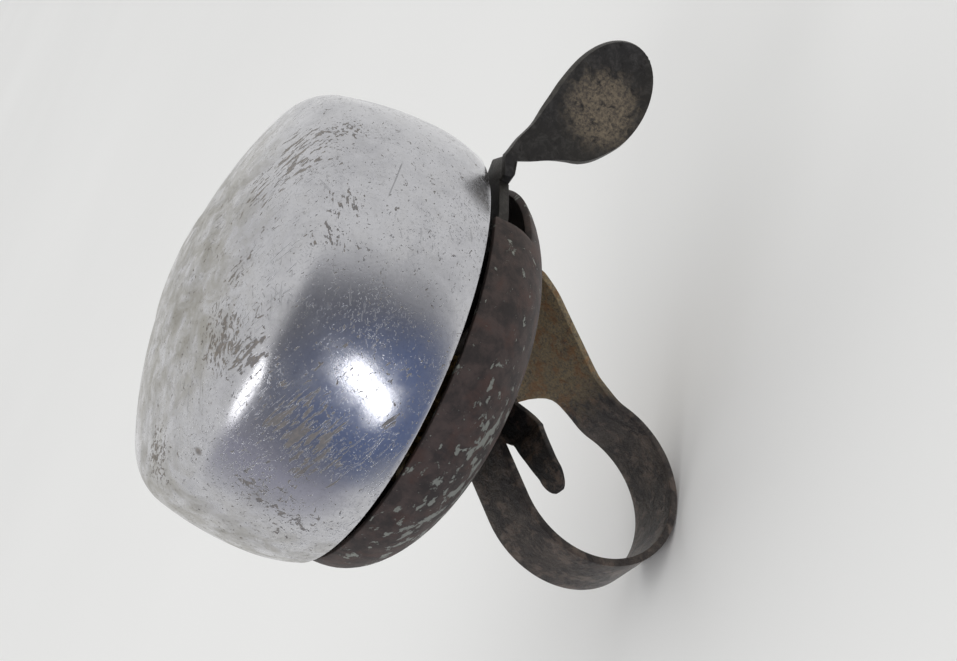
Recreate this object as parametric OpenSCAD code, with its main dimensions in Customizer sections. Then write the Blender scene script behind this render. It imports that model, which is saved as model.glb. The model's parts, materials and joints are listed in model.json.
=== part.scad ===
// Bicycle bell with a thumb lever, a geared striker and a strap clamp for a handlebar.
// Frame: origin at the centre of the handlebar, +X along the bar, +Z along the gong's axis.

/* [Handlebar] */
// Diameter of the handlebar that the strap goes round
bar_d = 22.2; // [18:0.1:27]
// Radial gap between the strap's loop and the bar
bar_clear = 0.05; // [0.02:0.01:0.1]
// Sideways distance from the bar's centre to the gong's axis
gong_y = 6.6; // [6:0.1:7.2]
// Height of the pan's back above the top of the bar
pan_stand = 5.5; // [5.2:0.1:7]

/* [Gong] */
// Outside radius of the gong at its mouth
gong_mouth_r = 27.5; // [25:0.5:34]
// How far the gong's belly stands out past its mouth
belly_out = 1; // [0.4:0.1:2]
// Height of the belly above the mouth
belly_h = 6.3; // [4:0.1:8]
// Height of the gong from its mouth to its crown
gong_h = 26.7; // [24:0.1:34]
// Thickness of the gong's wall
gong_wall = 1; // [0.7:0.1:1.5]
// Radius of the long curve from the belly up to the shoulder
side_r = 41.6; // [35:0.1:60]
// Radius of the shoulder
shoulder_r = 6.4; // [5:0.1:9]
// Radius of the crown's shallow curve
crown_r = 60; // [50:1:90]
// Radius of the round boss pressed into the crown
boss_r = 8.6; // [7:0.1:11]
// Height of that boss
boss_rise = 0.35; // [0.1:0.05:0.6]

/* [Pan] */
// How much smaller than the gong's mouth the pan is
pan_inset = 0.9; // [0.5:0.1:2]
// Gap between the pan's rim and the gong's mouth
rim_gap = 1.1; // [0.8:0.1:2]
// Depth of the pan
pan_depth = 12.7; // [12:0.1:17]
// Height of the upright part of the pan's wall
pan_wall_h = 1.9; // [1:0.1:4]
// Radius of the flat on the pan's back
pan_flat_r = 9; // [8.5:0.1:12]
// Thickness of the pan's sheet
pan_sheet = 0.9; // [0.7:0.1:1.2]
// Direction of the near side of the lever's notch
notch_from = 14; // [8:1:18]
// Direction of the far side of the lever's notch
notch_to = 66; // [60:1:80]
// Room below the lever in its notch
notch_clear = 3.3; // [2:0.1:4]

/* [Clamp strap] */
// Thickness of the strap
strap_t = 1; // [0.8:0.1:1.2]
// Width of the strap round the bar
strap_w = 8.4; // [6:0.1:10]
// Slope of the fishtail plate between the loop and its foot
tail_slope = 54.6; // [50:0.1:60]
// Radius of the bend where the loop runs into the fishtail
tail_bend_r = 6; // [4:0.1:8]
// Radius of the fold between the fishtail and its foot
fold_r = 1.6; // [1.2:0.1:2.5]
// How far the fishtail stands out on the near side of the strap
tail_near = 4.3; // [2:0.1:6]
// How far the fishtail stands out on the far side of the strap
tail_far = 8.6; // [5:0.1:10]
// Thickness of the steady tab that hugs the bar
tab_t = 0.9; // [0.6:0.1:1]
// Gap between the steady tab and the bar
tab_gap = 0.15; // [0.1:0.05:0.3]

/* [Screw and post] */
// Radius of the centre screw's thread and of the post's top
thread_r = 2; // [1.5:0.1:2.2]
// Radius of the centre screw's head
screw_head_r = 3.2; // [2.8:0.1:3.4]
// Height of the centre screw's head
screw_head_h = 1.3; // [1:0.1:1.4]
// Radius of the post below the striker
post_r = 3.6; // [3.2:0.1:4]
// Radius of the post's journal that the striker turns on
journal_r = 2.4; // [2.3:0.05:2.5]
// Running clearance of every shaft in its bore
run_clear = 0.05; // [0.02:0.01:0.1]

/* [Movement] */
// Height of the movement plate above the pan's floor
plate_stand = 3.3; // [3:0.1:4]
// Thickness of the movement plate
plate_t = 1.2; // [1:0.1:1.5]
// Gap between the movement plate's edge and the pan
plate_gap = 0.4; // [0.3:0.1:1]
// Tooth module of the gears
gear_m = 0.8; // [0.66:0.01:0.85]
// Teeth of the striker's pinion
hub_teeth = 10; // [10:1:11]
// Teeth of the idler gear
idler_teeth = 22; // [20:1:23]
// Teeth of the idler's pinion
pinion_teeth = 8; // [8:1:9]
// Teeth that a full circle of the lever's sector would have
sector_teeth = 30; // [28:1:32]
// Gap between meshing teeth, at the pitch circle
backlash = 0.3; // [0.2:0.05:0.4]
// Gap between the idler gear and what stands beside it
gear_clear = 0.15; // [0.05:0.05:0.3]
// Thickness of the idler gear
gear_t = 1.4; // [1:0.1:1.6]
// Distance from the pan's wall to the lever's pivot
pivot_inset = 9.6; // [9:0.1:11]
// Radius of the lever's pivot
pivot_r = 1.6; // [1.3:0.1:2]
// Radius of the idler's axle
axle_r = 1.2; // [1:0.1:1.4]
// Wire radius of the return spring
wire_r = 0.3; // [0.2:0.05:0.4]
// Turns of the return spring
spring_turns = 3; // [2:1:4]

/* [Lever] */
// Thickness of the lever's sheet
lever_t = 1.3; // [1:0.1:1.6]
// Height of the lever above the movement plate
lever_lift = 5; // [4.8:0.1:5.2]
// How far the lever swings when it is pressed
lever_swing = 20; // [10:1:20]
// Length of the thumb pad
pad_l = 22.3; // [18:0.1:26]
// Width of the thumb pad
pad_w = 11.1; // [8:0.1:14]
// How much longer than wide the pad's bulb is
pad_bulb = 1.48; // [1.2:0.01:1.6]
// Compass direction that the thumb pad points in
pad_dir = 60; // [55:1:65]
// How steeply the thumb pad dips towards the bar
pad_dip = 36.9; // [30:0.1:42]

/* [Striker] */
// Radius of the circle that the striker's pins stand on
pin_circle_r = 19.6; // [18:0.1:20.5]
// Thickness of the striker's arm
arm_t = 1.4; // [1:0.1:1.6]
// Radius of the striker's pins
pin_r = 1.3; // [1.1:0.1:1.6]
// Outside radius of the loose striker rings
ring_r = 5.6; // [4:0.1:5.8]
// Inside radius of the loose striker rings
ring_bore_r = 2.1; // [1.9:0.1:2.4]
// Thickness of the loose striker rings
ring_t = 1.8; // [1.2:0.1:2]

/* [Hidden] */

$fn = 64;
eps = 0.01;
far = 80;

// Heights, from the bar upwards
bar_r = bar_d / 2;
pan_back_z = bar_r + pan_stand;
floor_z = pan_back_z + pan_sheet;
pan_rim_z = pan_back_z + pan_depth;
mouth_z = pan_rim_z + rim_gap;
plate_z = floor_z + plate_stand;
plate_top = plate_z + plate_t;
washer_t = 0.3;
shoulder_z = plate_top + 0.7;
hub_z = shoulder_z + washer_t;
lever_z = plate_top + lever_lift;
gear_z = hub_z + 0.2;
arm_z = mouth_z + 0.8;
ring_z = arm_z + arm_t + 0.3;
hub_top = arm_z + arm_t + 0.4;
journal_top = hub_top + 0.4;

// Strap
loop_r = bar_r + bar_clear;
loop_mid = loop_r + strap_t / 2;
loop_start = -14;
loop_end = 126;
foot_z = pan_back_z - strap_t;
end_z = foot_z - strap_t;
tab_z = end_z - tab_t;
screw_hole_r = thread_r + 0.15;
rivet_r = 1;
rivet_x = 6.2;
rivet_y = 2.4;

// Pan and gong
pan_r = gong_mouth_r - pan_inset;
belly_r = gong_mouth_r + belly_out;
bush_r = 4.6;
bush_l = 9;
sleeve_r = 3.4;

// Gear centres, about the gong's axis
module_sum = gear_m / 2;
pivot_from_axis = pan_r - pivot_inset;
idler_from_axis = module_sum * (hub_teeth + idler_teeth);
idler_from_pivot = module_sum * (sector_teeth + pinion_teeth);
idler_tip_r = module_sum * idler_teeth + 0.8 * gear_m;
pivot_dir = -2;
idler_dir = pivot_dir - acos(
    (pivot_from_axis ^ 2 + idler_from_axis ^ 2 - idler_from_pivot ^ 2)
    / (2 * pivot_from_axis * idler_from_axis));
axis_at = [0, gong_y];
pivot_at = polar(pivot_from_axis, pivot_dir);
idler_at = polar(idler_from_axis, idler_dir);
mesh_dir = direction(pivot_at, idler_at);
hub_mesh_dir = direction(idler_at, axis_at);

// Point at radius r and direction a from the gong's axis
function polar(r, a) = [r * cos(a), gong_y + r * sin(a)];
function direction(p, q) = atan2(q.y - p.y, q.x - p.x);
// Points of an arc about c, of radius r, from angle a to angle b in n steps
function arc(c, r, a, b, n = 12) = [for (i = [0:n]) c + r * [cos(a + (b - a) * i / n), sin(a + (b - a) * i / n)]];

// Gong outline, in radius and height above the mouth, as four arcs that run into each other.
// inset moves the outline inwards, towards the arcs' centres.
lip_r = (belly_out ^ 2 + belly_h ^ 2) / (2 * belly_out);
lip_c = [belly_r - lip_r, belly_h];
side_c = [belly_r - side_r, belly_h];
crown_c = [0, gong_h - crown_r];
shoulder_c = meet(side_c, side_r - shoulder_r, crown_c, crown_r - shoulder_r);
// Right-hand meeting point of two circles
function meet(p, r, q, s) =
    let (d = norm(q - p), a = (r ^ 2 - s ^ 2 + d ^ 2) / (2 * d), h = sqrt(r ^ 2 - a ^ 2), u = (q - p) / d)
    p + a * u + h * [-u.y, u.x];
function gong_outline(inset) =
    let (
        mouth_a = -asin(belly_h / (lip_r - inset)),
        side_a = direction(side_c, shoulder_c),
        crown_a = direction(crown_c, shoulder_c),
        boss_a = acos(boss_r / (crown_r - inset)),
        rise = [0, boss_rise]
    )
    concat(
        arc(lip_c, lip_r - inset, mouth_a, 0, 5),
        arc(side_c, side_r - inset, side_a / 6, side_a, 5),
        arc(shoulder_c, shoulder_r - inset, side_a + 8, crown_a, 8),
        arc(crown_c, crown_r - inset, crown_a + 2, boss_a - 0.3, 5),
        arc(crown_c + rise, crown_r - inset, boss_a + 0.3, 90, 5)
    );

// Pan outline, in radius and height above the pan's back
function pan_outline(inset) =
    let (corner_c = [pan_flat_r, pan_depth - pan_wall_h], w = pan_r - pan_flat_r - inset, h = corner_c.y - inset)
    concat(
        [[pan_r - inset, pan_depth]],
        [for (a = [0:9:90]) corner_c + [w * cos(a), -h * sin(a)]],
        [[0, inset]]
    );

module on_axis(z = 0) {
    translate([axis_at.x, axis_at.y, z]) children();
}

module at(p, z = 0) {
    translate([p.x, p.y, z]) children();
}

module disc(r, h, z = 0) {
    translate([0, 0, z]) cylinder(r = r, h = h);
}

// ---- Gong ----

module gong_dome() {
    color([0.72, 0.73, 0.75]) on_axis(mouth_z) rotate_extrude($fn = 96)
        polygon(concat(gong_outline(0), reverse(gong_outline(gong_wall))));
}

function reverse(list) = [for (i = [len(list) - 1:-1:0]) list[i]];

// Threaded bush fixed under the crown
module dome_bush() {
    crown_in = mouth_z + gong_h + boss_rise - gong_wall;
    color([0.62, 0.6, 0.55]) on_axis() difference() {
        intersection() {
            disc(bush_r, bush_l + 1, crown_in - bush_l);
            translate([0, 0, mouth_z + crown_c.y + boss_rise]) sphere(r = crown_r - gong_wall - 0.02, $fn = 96);
        }
        disc(thread_r + run_clear, bush_l - 1.4, crown_in - bush_l - eps);
    }
}

// ---- Pan ----

module base_pan() {
    notch_z = lever_z - notch_clear;
    color([0.3, 0.26, 0.24]) difference() {
        on_axis(pan_back_z) rotate_extrude($fn = 96)
            polygon(concat(pan_outline(0), reverse(pan_outline(pan_sheet))));
        on_axis(notch_z) linear_extrude(far) polygon(concat([[0, 0]], arc([0, 0], far, notch_from, notch_to, 4)));
        on_axis(pan_back_z - eps) cylinder(r = screw_hole_r, h = 3);
        for (x = [-rivet_x, rivet_x]) at([x, gong_y + rivet_y], pan_back_z - eps) cylinder(r = rivet_r, h = 3);
        pillar_places() disc(pillar_pin_r, 3, pan_back_z - eps);
    }
}

// ---- Clamp ----

// Outline of a band of sheet that follows a path of points, t thick, with half its thickness each side
function band(path, t) =
    let (
        n = len(path) - 1,
        side = [
            for (i = [0:n])
                let (
                    back = i == 0 ? path[1] - path[0] : path[i] - path[i - 1],
                    ahead = i == n ? back : path[i + 1] - path[i],
                    u = back / norm(back) + ahead / norm(ahead),
                    v = u / norm(u),
                    stretch = 1 / sqrt((1 + (back * ahead) / (norm(back) * norm(ahead))) / 2)
                )
                [-v.y, v.x] * t / 2 * stretch
        ]
    )
    concat([for (i = [0:n]) path[i] + side[i]], [for (i = [n:-1:0]) path[i] - side[i]]);

// Extrudes an outline drawn in Y and Z along X
module across(x0, x1) {
    translate([x0, 0, 0]) rotate([90, 0, 90]) linear_extrude(x1 - x0) children();
}

// The loop's free end rises from the loop to the underside of the foot
rise_a = loop_end - 90;
rise_bend_r = 3;
end_mid_z = end_z + strap_t / 2;
loop_tip = loop_mid * [cos(loop_end), sin(loop_end)];
rise_c_z = end_mid_z - rise_bend_r;
rise_run = (rise_c_z + rise_bend_r * cos(rise_a) - loop_tip.y) / sin(rise_a);
rise_c_y = loop_tip.x + rise_run * cos(rise_a) + rise_bend_r * sin(rise_a);

// The fishtail leaves the loop on the other side, bends outwards and folds back under the pan
tail_c = (loop_mid + tail_bend_r) * [cos(loop_start), sin(loop_start)];
tail_from = tail_c + tail_bend_r * [cos(tail_slope + 90), sin(tail_slope + 90)];
foot_mid_z = foot_z + strap_t / 2;
fold_c_z = foot_mid_z - fold_r;
tail_run = (fold_c_z - fold_r * cos(tail_slope) - tail_from.y) / sin(tail_slope);
fold_c_y = tail_from.x + tail_run * cos(tail_slope) - fold_r * sin(tail_slope);

module strap_loop() {
    path = concat(
        arc([rise_c_y, rise_c_z], rise_bend_r, 90, 90 + rise_a, 4),
        [loop_tip, loop_mid * [cos(loop_end + 4), sin(loop_end + 4)]]
    );
    across(-strap_w / 2, strap_w / 2) {
        difference() {
            circle(r = loop_r + strap_t, $fn = 96);
            circle(r = loop_r, $fn = 96);
            polygon(concat([[0, 0]], arc([0, 0], far, loop_start, loop_end, 6)));
        }
        polygon(band(concat([[gong_y + 4.6, end_mid_z]], path), strap_t));
    }
}

module fishtail() {
    start = loop_mid * [cos(loop_start - 4), sin(loop_start - 4)];
    bend = concat([start], arc(tail_c, tail_bend_r, 180 + loop_start, 90 + tail_slope, 4));
    fold = arc([fold_c_y, fold_c_z], fold_r, tail_slope - 90, 90, 8);
    intersection() {
        across(-far, far) polygon(band(concat(bend, fold, [[gong_y - 9, foot_mid_z]]), strap_t));
        union() {
            linear_extrude(foot_z - 0.6) tail_outline();
            translate([0, 0, -far]) linear_extrude(far + eps) tail_outline();
            translate([0, 0, foot_z - 0.6 - eps]) linear_extrude(far) foot_outline();
        }
    }
}

fold_edge_y = fold_c_y + fold_r + strap_t;

// The fishtail seen from above: the strap's width at the loop, flaring out to the fold
module tail_outline() {
    half = strap_w / 2;
    flare_y = tail_from.x + 2.4;
    polygon([
        [half, 0], [half, flare_y], [half + tail_near * 0.38, flare_y + 2.7],
        [half + tail_near * 0.9, flare_y + 6.8], [half + tail_near, fold_edge_y],
        [-half - tail_far, fold_edge_y], [-half - tail_far, flare_y + 2],
        [-half - tail_far + 1.4, flare_y + 1.7], [-half - 4, flare_y + 1.1], [-half - 1.5, flare_y + 0.4],
        [-half - 0.4, flare_y - 0.3], [-half, flare_y - 1.4], [-half, 0]
    ]);
}

// The foot seen from above, from the fold back to a round pad under the screw
module foot_outline() {
    half = strap_w / 2;
    polygon([
        [half + tail_near, fold_edge_y], [-half - tail_far, fold_edge_y], [-half - tail_far, fold_c_y - 2],
        [-8, gong_y + 3], [8, gong_y + 3], [half + tail_near, fold_c_y - 2]
    ]);
    translate([0, gong_y]) circle(r = 8.5);
}

module clamp_strap() {
    color([0.36, 0.3, 0.24]) difference() {
        union() {
            strap_loop();
            fishtail();
        }
        on_axis(end_z - 1) cylinder(r = screw_hole_r, h = 5);
        for (x = [-rivet_x, rivet_x]) at([x, gong_y + rivet_y], foot_z - 1) cylinder(r = rivet_r, h = 3);
    }
}

// Tapered tab under the screw that curls down over the bar beside the strap
module steady_tab() {
    mid_r = loop_r + tab_gap + tab_t / 2;
    mid_z = tab_z + tab_t / 2;
    path = concat([[gong_y + 4, mid_z], [gong_y - 3.9, mid_z]], arc([0, 0], mid_r, 92, 150, 14));
    color([0.17, 0.15, 0.14]) difference() {
        intersection() {
            across(-far, far) polygon(band(path, tab_t));
            linear_extrude(far) tab_outline();
        }
        on_axis(tab_z - 1) cylinder(r = screw_hole_r, h = 4);
    }
}

// The tab seen from above
module tab_outline() {
    tip = [strap_w / 2 + 6.2, -6.7];
    polygon(concat(
        [[-3.6, gong_y + 4], [3.6, gong_y + 4], [6.4, 4.4], [9.7, 0.2], [11.6, -3.6]],
        arc(tip, 2, 0, -180, 8),
        [[strap_w / 2 + 2, -3.4], [2.6, 0.3], [-3.6, gong_y - 4]]
    ));
}

module foot_rivets() {
    color([0.4, 0.36, 0.32]) for (x = [-rivet_x, rivet_x]) at([x, gong_y + rivet_y]) {
        disc(rivet_r, strap_t + pan_sheet, foot_z);
        disc(1.7, 0.7, foot_z - 0.7);
        disc(1.6, 0.5, floor_z);
    }
}

module centre_screw() {
    color([0.45, 0.42, 0.38]) on_axis() difference() {
        union() {
            disc(screw_head_r, screw_head_h, tab_z - washer_t - screw_head_h);
            disc(thread_r, floor_z + 3 - tab_z, tab_z - washer_t);
        }
        translate([-far / 2, -0.4, tab_z - washer_t - screw_head_h - eps]) cube([far, 0.8, 0.6]);
    }
}

module lock_washer() {
    color([0.5, 0.48, 0.45]) on_axis() difference() {
        disc(screw_head_r, washer_t, tab_z - washer_t);
        disc(screw_hole_r, 2, tab_z - 1);
    }
}

// ---- Post ----

module centre_post() {
    color([0.55, 0.53, 0.5]) on_axis() difference() {
        union() {
            disc(post_r + 1.2, 1.2, floor_z);
            disc(post_r, shoulder_z - floor_z, floor_z);
            disc(journal_r, journal_top - floor_z, floor_z);
            disc(thread_r, mouth_z + gong_h - 3 - floor_z, floor_z);
        }
        disc(thread_r + run_clear, 3.6, floor_z - eps);
    }
}

// Distance tube between the journal's shoulder and the dome's bush
module post_sleeve() {
    top = mouth_z + gong_h + boss_rise - gong_wall - bush_l;
    color([0.6, 0.58, 0.55]) on_axis() difference() {
        disc(sleeve_r, top - journal_top, journal_top);
        disc(thread_r + run_clear, far, journal_top - eps);
    }
}

module thrust_washer() {
    color([0.6, 0.52, 0.3]) on_axis() difference() {
        disc(post_r, washer_t, shoulder_z);
        disc(journal_r + run_clear, 2, shoulder_z - 1);
    }
}

// ---- Movement plate ----

pillar_r = 1.8;
pillar_pin_r = 1;
pillar_dist = 7.2;

module pillar_places() {
    for (a = [100, 200, 325]) at(polar(pillar_dist, a)) children();
}

// Radius of the room that the pan leaves at the plate's underside
corner_h = pan_depth - pan_wall_h;
plate_room = pan_flat_r - plate_gap + (pan_r - pan_flat_r - pan_sheet)
    * sqrt(1 - ((corner_h - pan_sheet - plate_stand) / (corner_h - pan_sheet)) ^ 2);

module movement_plate() {
    color([0.48, 0.46, 0.43]) translate([0, 0, plate_z]) difference() {
        intersection() {
            linear_extrude(plate_t) union() {
                translate(axis_at) circle(r = 11);
                lobe(axis_at, 8, pivot_at, 5.4);
                lobe(axis_at, 8, idler_at, 4);
                lobe(axis_at, 7, spring_pin_at, 2);
            }
            at(axis_at, -1) cylinder(r = plate_room, h = plate_t + 2);
        }
        at(polar(6.6, 250), -1) cylinder(r = 2.2, h = 4);
        at(polar(7.4, 150), -1) cylinder(r = 2.2, h = 4);
        at(axis_at, -1) cylinder(r = post_r + run_clear, h = 4);
        at(pivot_at, -1) cylinder(r = pivot_r, h = 4);
        at(idler_at, -1) cylinder(r = axle_r, h = 4);
        at(spring_pin_at, -1) cylinder(r = spring_pin_r, h = 4);
        pillar_places() disc(pillar_pin_r, 4, -1);
    }
}

// Flat lobe from a circle at p to a circle at q, joined by a straight web
module lobe(p, rp, q, rq) {
    translate(q) circle(r = rq);
    a = 0.88 * rp;
    b = 0.88 * rq;
    translate(p) rotate(direction(p, q)) polygon([[0, -a], [norm(q - p), -b], [norm(q - p), b], [0, a]]);
}

module plate_pillars() {
    color([0.5, 0.48, 0.44]) pillar_places() {
        disc(pillar_r, plate_stand, floor_z);
        disc(pillar_pin_r, plate_top - pan_back_z, pan_back_z);
    }
}

// ---- Gears ----

// Point on the involute of base circle rb at radius r, turned by a
function involute(rb, r, a) =
    let (t = sqrt(max(r ^ 2 / rb ^ 2 - 1, 0)), inv = t * 180 / PI - atan(t))
    r * [cos(a + inv), sin(a + inv)];

// One tooth centred on +X, as a polygon from inside the root circle to the tip
module tooth(z, root_r) {
    pitch_r = module_sum * z;
    tip_r = pitch_r + 0.8 * gear_m;
    rb = pitch_r * cos(20);
    t = sqrt(1 / cos(20) ^ 2 - 1);
    half = (PI * gear_m / 2 - backlash) / (2 * pitch_r) * 180 / PI + t * 180 / PI - 20;
    start_r = max(rb, root_r);
    flank = [for (i = [0:4]) involute(rb, start_r + (tip_r - start_r) * i / 4, -half)];
    foot = (root_r - 0.4) * [cos(-half), sin(-half)];
    other = [for (i = [4:-1:0]) [flank[i].x, -flank[i].y]];
    polygon(concat([foot], flank, other, [[foot.x, -foot.y]]));
}

module spur(z) {
    root_r = module_sum * z - 1.1 * gear_m;
    circle(r = root_r);
    for (i = [0:z - 1]) rotate(360 * i / z) tooth(z, root_r);
}

module idler_axle() {
    color([0.58, 0.56, 0.52]) at(idler_at) {
        disc(axle_r, lever_z + lever_t + 0.9 - plate_z, plate_z);
        disc(axle_r + 1, gear_z - 0.1 - plate_top, plate_top);
    }
}

module idler_gear() {
    color([0.66, 0.56, 0.3]) at(idler_at, gear_z) difference() {
        linear_extrude(gear_t) rotate(hub_mesh_dir) spur(idler_teeth);
        disc(axle_r + run_clear, 4, -1);
        for (a = [45:90:315]) rotate(a) translate([5.2, 0, -1]) cylinder(r = 1.5, h = 4);
    }
}

module idler_pinion() {
    pinion_z = gear_z + gear_t;
    color([0.6, 0.58, 0.54]) at(idler_at) difference() {
        translate([0, 0, pinion_z]) linear_extrude(lever_z + lever_t + 0.2 - pinion_z)
            rotate(mesh_dir + 180 + 180 / pinion_teeth) spur(pinion_teeth);
        disc(axle_r + run_clear, far, floor_z);
    }
}

module idler_clip() {
    color([0.5, 0.48, 0.45]) at(idler_at, lever_z + lever_t + 0.35) difference() {
        cylinder(r = axle_r + 0.9, h = 0.4);
        disc(axle_r, 2, -1);
    }
}

// ---- Lever ----

lever_bore_r = pivot_r + run_clear;
pad_rise = 0.8;
pad_tilt = 21.5;
spring_pin_r = 0.6;
spring_mean_r = pivot_r + 1.7;
spring_z = plate_top + 0.7;
spring_pitch = 0.8;
spring_reach = min(5, idler_from_pivot - idler_tip_r - gear_clear - spring_pin_r / 2);
spring_pin_at = pivot_at + spring_reach * [cos(200), sin(200)];
spring_lug_at = pivot_at + 5 * [cos(120), sin(120)];

module lever_pivot() {
    color([0.55, 0.52, 0.48]) at(pivot_at) {
        disc(pivot_r, lever_z + lever_t + 0.2 - plate_z, plate_z);
        disc(pivot_r + 0.9, lever_z - 0.15 - plate_top, plate_top);
        disc(pivot_r + 1.2, 0.6, lever_z + lever_t + 0.2);
    }
}

// Flat outline of the lever: hub, toothed sector and the arm that leaves through the notch
module lever_outline() {
    translate(pivot_at) circle(r = pivot_r + 2.6);
    translate(pivot_at) rotate(mesh_dir) sector();
    polygon([
        pivot_at + [3.9, 1], polar(pan_r - 2.6, 8), polar(pan_r - 1.2, 15), polar(pan_r - 0.8, 20),
        polar(pan_r + 0.3, 32.4), polar(pan_r + 1.9, 31.6), polar(pan_r + 2.8, 35.4),
        polar(pan_r + 0.8, 44), polar(pan_r - 2, 44), polar(pan_r - 6, 34), pivot_at + [-2.6, 3]
    ]);
}

module sector() {
    root_r = module_sum * sector_teeth - 1.1 * gear_m;
    step = 360 / sector_teeth;
    polygon(concat([[0, 0]], arc([0, 0], root_r, step * 1.6, -step * 3.6, 10)));
    for (i = [-1:3]) rotate(-step * i) tooth(sector_teeth, root_r);
}

// Teardrop thumb pad, drawn with its root at the origin and its length along +X
module pad_outline() {
    bulb_x = pad_l - 7.7;
    side = pad_w / 2;
    translate([bulb_x, pad_rise]) rotate(pad_tilt) scale([pad_bulb, 1]) circle(r = side);
    polygon([
        [0, 0.2], [2.8, -1.2], [4.8, -0.4 * side], [6.6, -0.6 * side], [8, -0.78 * side], [bulb_x - 4.7, -0.88 * side],
        [bulb_x, 0], [bulb_x - 3.7, 0.98 * side], [9, 0.81 * side], [7.2, 0.66 * side], [5.1, 0.49 * side], [2.3, 2], [0, 1.1]
    ]);
}

module thumb_lever() {
    color([0.24, 0.22, 0.2]) {
        difference() {
            union() {
                translate([0, 0, lever_z]) linear_extrude(lever_t) lever_outline();
                at(spring_lug_at, lever_z - 2.2) cylinder(r = spring_pin_r, h = 3);
            }
            at(pivot_at, lever_z - 3) cylinder(r = lever_bore_r, h = 6);
        }
        // The neck twists the sheet from flat to upright
        at_pad_root() hull() {
            translate([-1.6, -1, -lever_t]) cube([1.2, 2, lever_t]);
            pad_plane() translate([0.2, 0, 0]) cube([0.8, 1.3, lever_t]);
        }
        at_pad_root() pad_plane() linear_extrude(lever_t) pad_outline();
    }
}

module at_pad_root() {
    at(polar(pan_r + 2.6, 33), lever_z + lever_t) rotate(pad_dir) children();
}

// Stands a flat outline upright, dipping along its length, with its thickness centred
module pad_plane() {
    translate([0, lever_t / 2, 0]) rotate([90, 0, 0]) rotate(-pad_dip) children();
}

// Coil spring round the pivot, one leg on the plate's pin and one on the lever's lug
function spring_path() =
    let (steps = 16 * spring_turns, total = 360 * spring_turns - 80)
    concat(
        [leg_end(200, spring_z, -1)],
        [for (i = [0:steps]) spring_point(215 - 0 + total * i / steps, spring_z + spring_pitch * spring_turns * i / steps)],
        [leg_end(215 + total - 20, spring_z + spring_pitch * spring_turns, 1)]
    );
function spring_point(a, z) = [pivot_at.x + spring_mean_r * cos(a), pivot_at.y + spring_mean_r * sin(a), z];
function leg_end(a, z, s) =
    let (p = spring_point(a, z))
    p + 2.4 * [cos(a + s * 60), sin(a + s * 60), 0];

// Tube of 6 sides along a path of points
module wire(path, r) {
    n = len(path);
    sides = 6;
    rings = [
        for (i = [0:n - 1])
            let (
                t = path[min(i + 1, n - 1)] - path[max(i - 1, 0)],
                side = cross([0, 0, 1], t),
                u = side / norm(side),
                v = cross(t, u) / norm(t)
            )
            for (k = [0:sides - 1]) path[i] + r * (cos(360 * k / sides) * u + sin(360 * k / sides) * v)
    ];
    walls = [
        for (i = [0:n - 2], k = [0:sides - 1])
            let (a = i * sides + k, b = i * sides + (k + 1) % sides)
            [a, b, b + sides, a + sides]
    ];
    polyhedron(rings, concat([[for (k = [sides - 1:-1:0]) k]], walls, [[for (k = [0:sides - 1]) (n - 1) * sides + k]]));
}

module return_spring() {
    color([0.6, 0.6, 0.6]) wire(spring_path(), wire_r);
}

module spring_pin() {
    color([0.55, 0.52, 0.48]) at(spring_pin_at, plate_z) cylinder(r = spring_pin_r, h = plate_t + 2);
}

// ---- Striker ----

hub_r = journal_r + 0.8;
// Height that is clear of the idler gear
gear_top = gear_z + gear_t + 0.4;

module striker_pinion() {
    color([0.62, 0.55, 0.34]) on_axis() difference() {
        union() {
            translate([0, 0, hub_z]) linear_extrude(gear_t + 1)
                rotate(hub_mesh_dir + 180 + 180 / hub_teeth) spur(hub_teeth);
            disc(min(hub_r, idler_from_axis - idler_tip_r - gear_clear), hub_top - hub_z, hub_z);
            disc(hub_r, hub_top - gear_top, gear_top);
            disc(hub_r + 1, 1, arm_z - 1);
        }
        disc(journal_r + run_clear, far, hub_z - 1);
    }
}

module striker_arm() {
    color([0.5, 0.48, 0.46]) on_axis(arm_z) difference() {
        union() {
            cylinder(r = hub_r + 2.6, h = arm_t);
            for (s = [-1, 1]) translate([s * pin_circle_r, 0, 0]) cylinder(r = pin_r + 1.5, h = arm_t);
            linear_extrude(arm_t) polygon([
                [-pin_circle_r, -2.2], [0, -4], [pin_circle_r, -2.2], [pin_circle_r, 2.2], [0, 4], [-pin_circle_r, 2.2]
            ]);
        }
        disc(hub_r, 4, -1);
        for (s = [-1, 1]) translate([s * pin_circle_r, 0, -1]) cylinder(r = pin_r - 0.3, h = 4);
    }
}

module striker_pins() {
    pin_top = ring_z + ring_t + 0.3;
    color([0.6, 0.58, 0.55]) on_axis() for (s = [-1, 1]) translate([s * pin_circle_r, 0, 0]) {
        disc(pin_r - 0.3, arm_t, arm_z);
        disc(pin_r, pin_top - arm_z - arm_t, arm_z + arm_t);
        disc(pin_r + 1.3, 0.7, pin_top);
    }
}

module striker_ring(s) {
    color([0.55, 0.54, 0.52]) on_axis(ring_z) translate([s * pin_circle_r, 0, 0]) difference() {
        cylinder(r = ring_r, h = ring_t);
        disc(ring_bore_r, 6, -1);
    }
}

module striker_ring_a() {
    striker_ring(1);
}

module striker_ring_b() {
    striker_ring(-1);
}

gong_dome();
dome_bush();
base_pan();
clamp_strap();
steady_tab();
foot_rivets();
centre_screw();
lock_washer();
centre_post();
post_sleeve();
thrust_washer();
movement_plate();
plate_pillars();
lever_pivot();
thumb_lever();
return_spring();
spring_pin();
idler_axle();
idler_gear();
idler_pinion();
idler_clip();
striker_pinion();
striker_arm();
striker_pins();
striker_ring_a();
striker_ring_b();
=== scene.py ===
"""Looks of a bicycle bell: gong, pan, thumb lever, strap clamp and striker works.

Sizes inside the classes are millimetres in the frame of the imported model, whose
origin is the centre of the handlebar, with +X along it and +Z along the gong's axis.
"""

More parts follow.
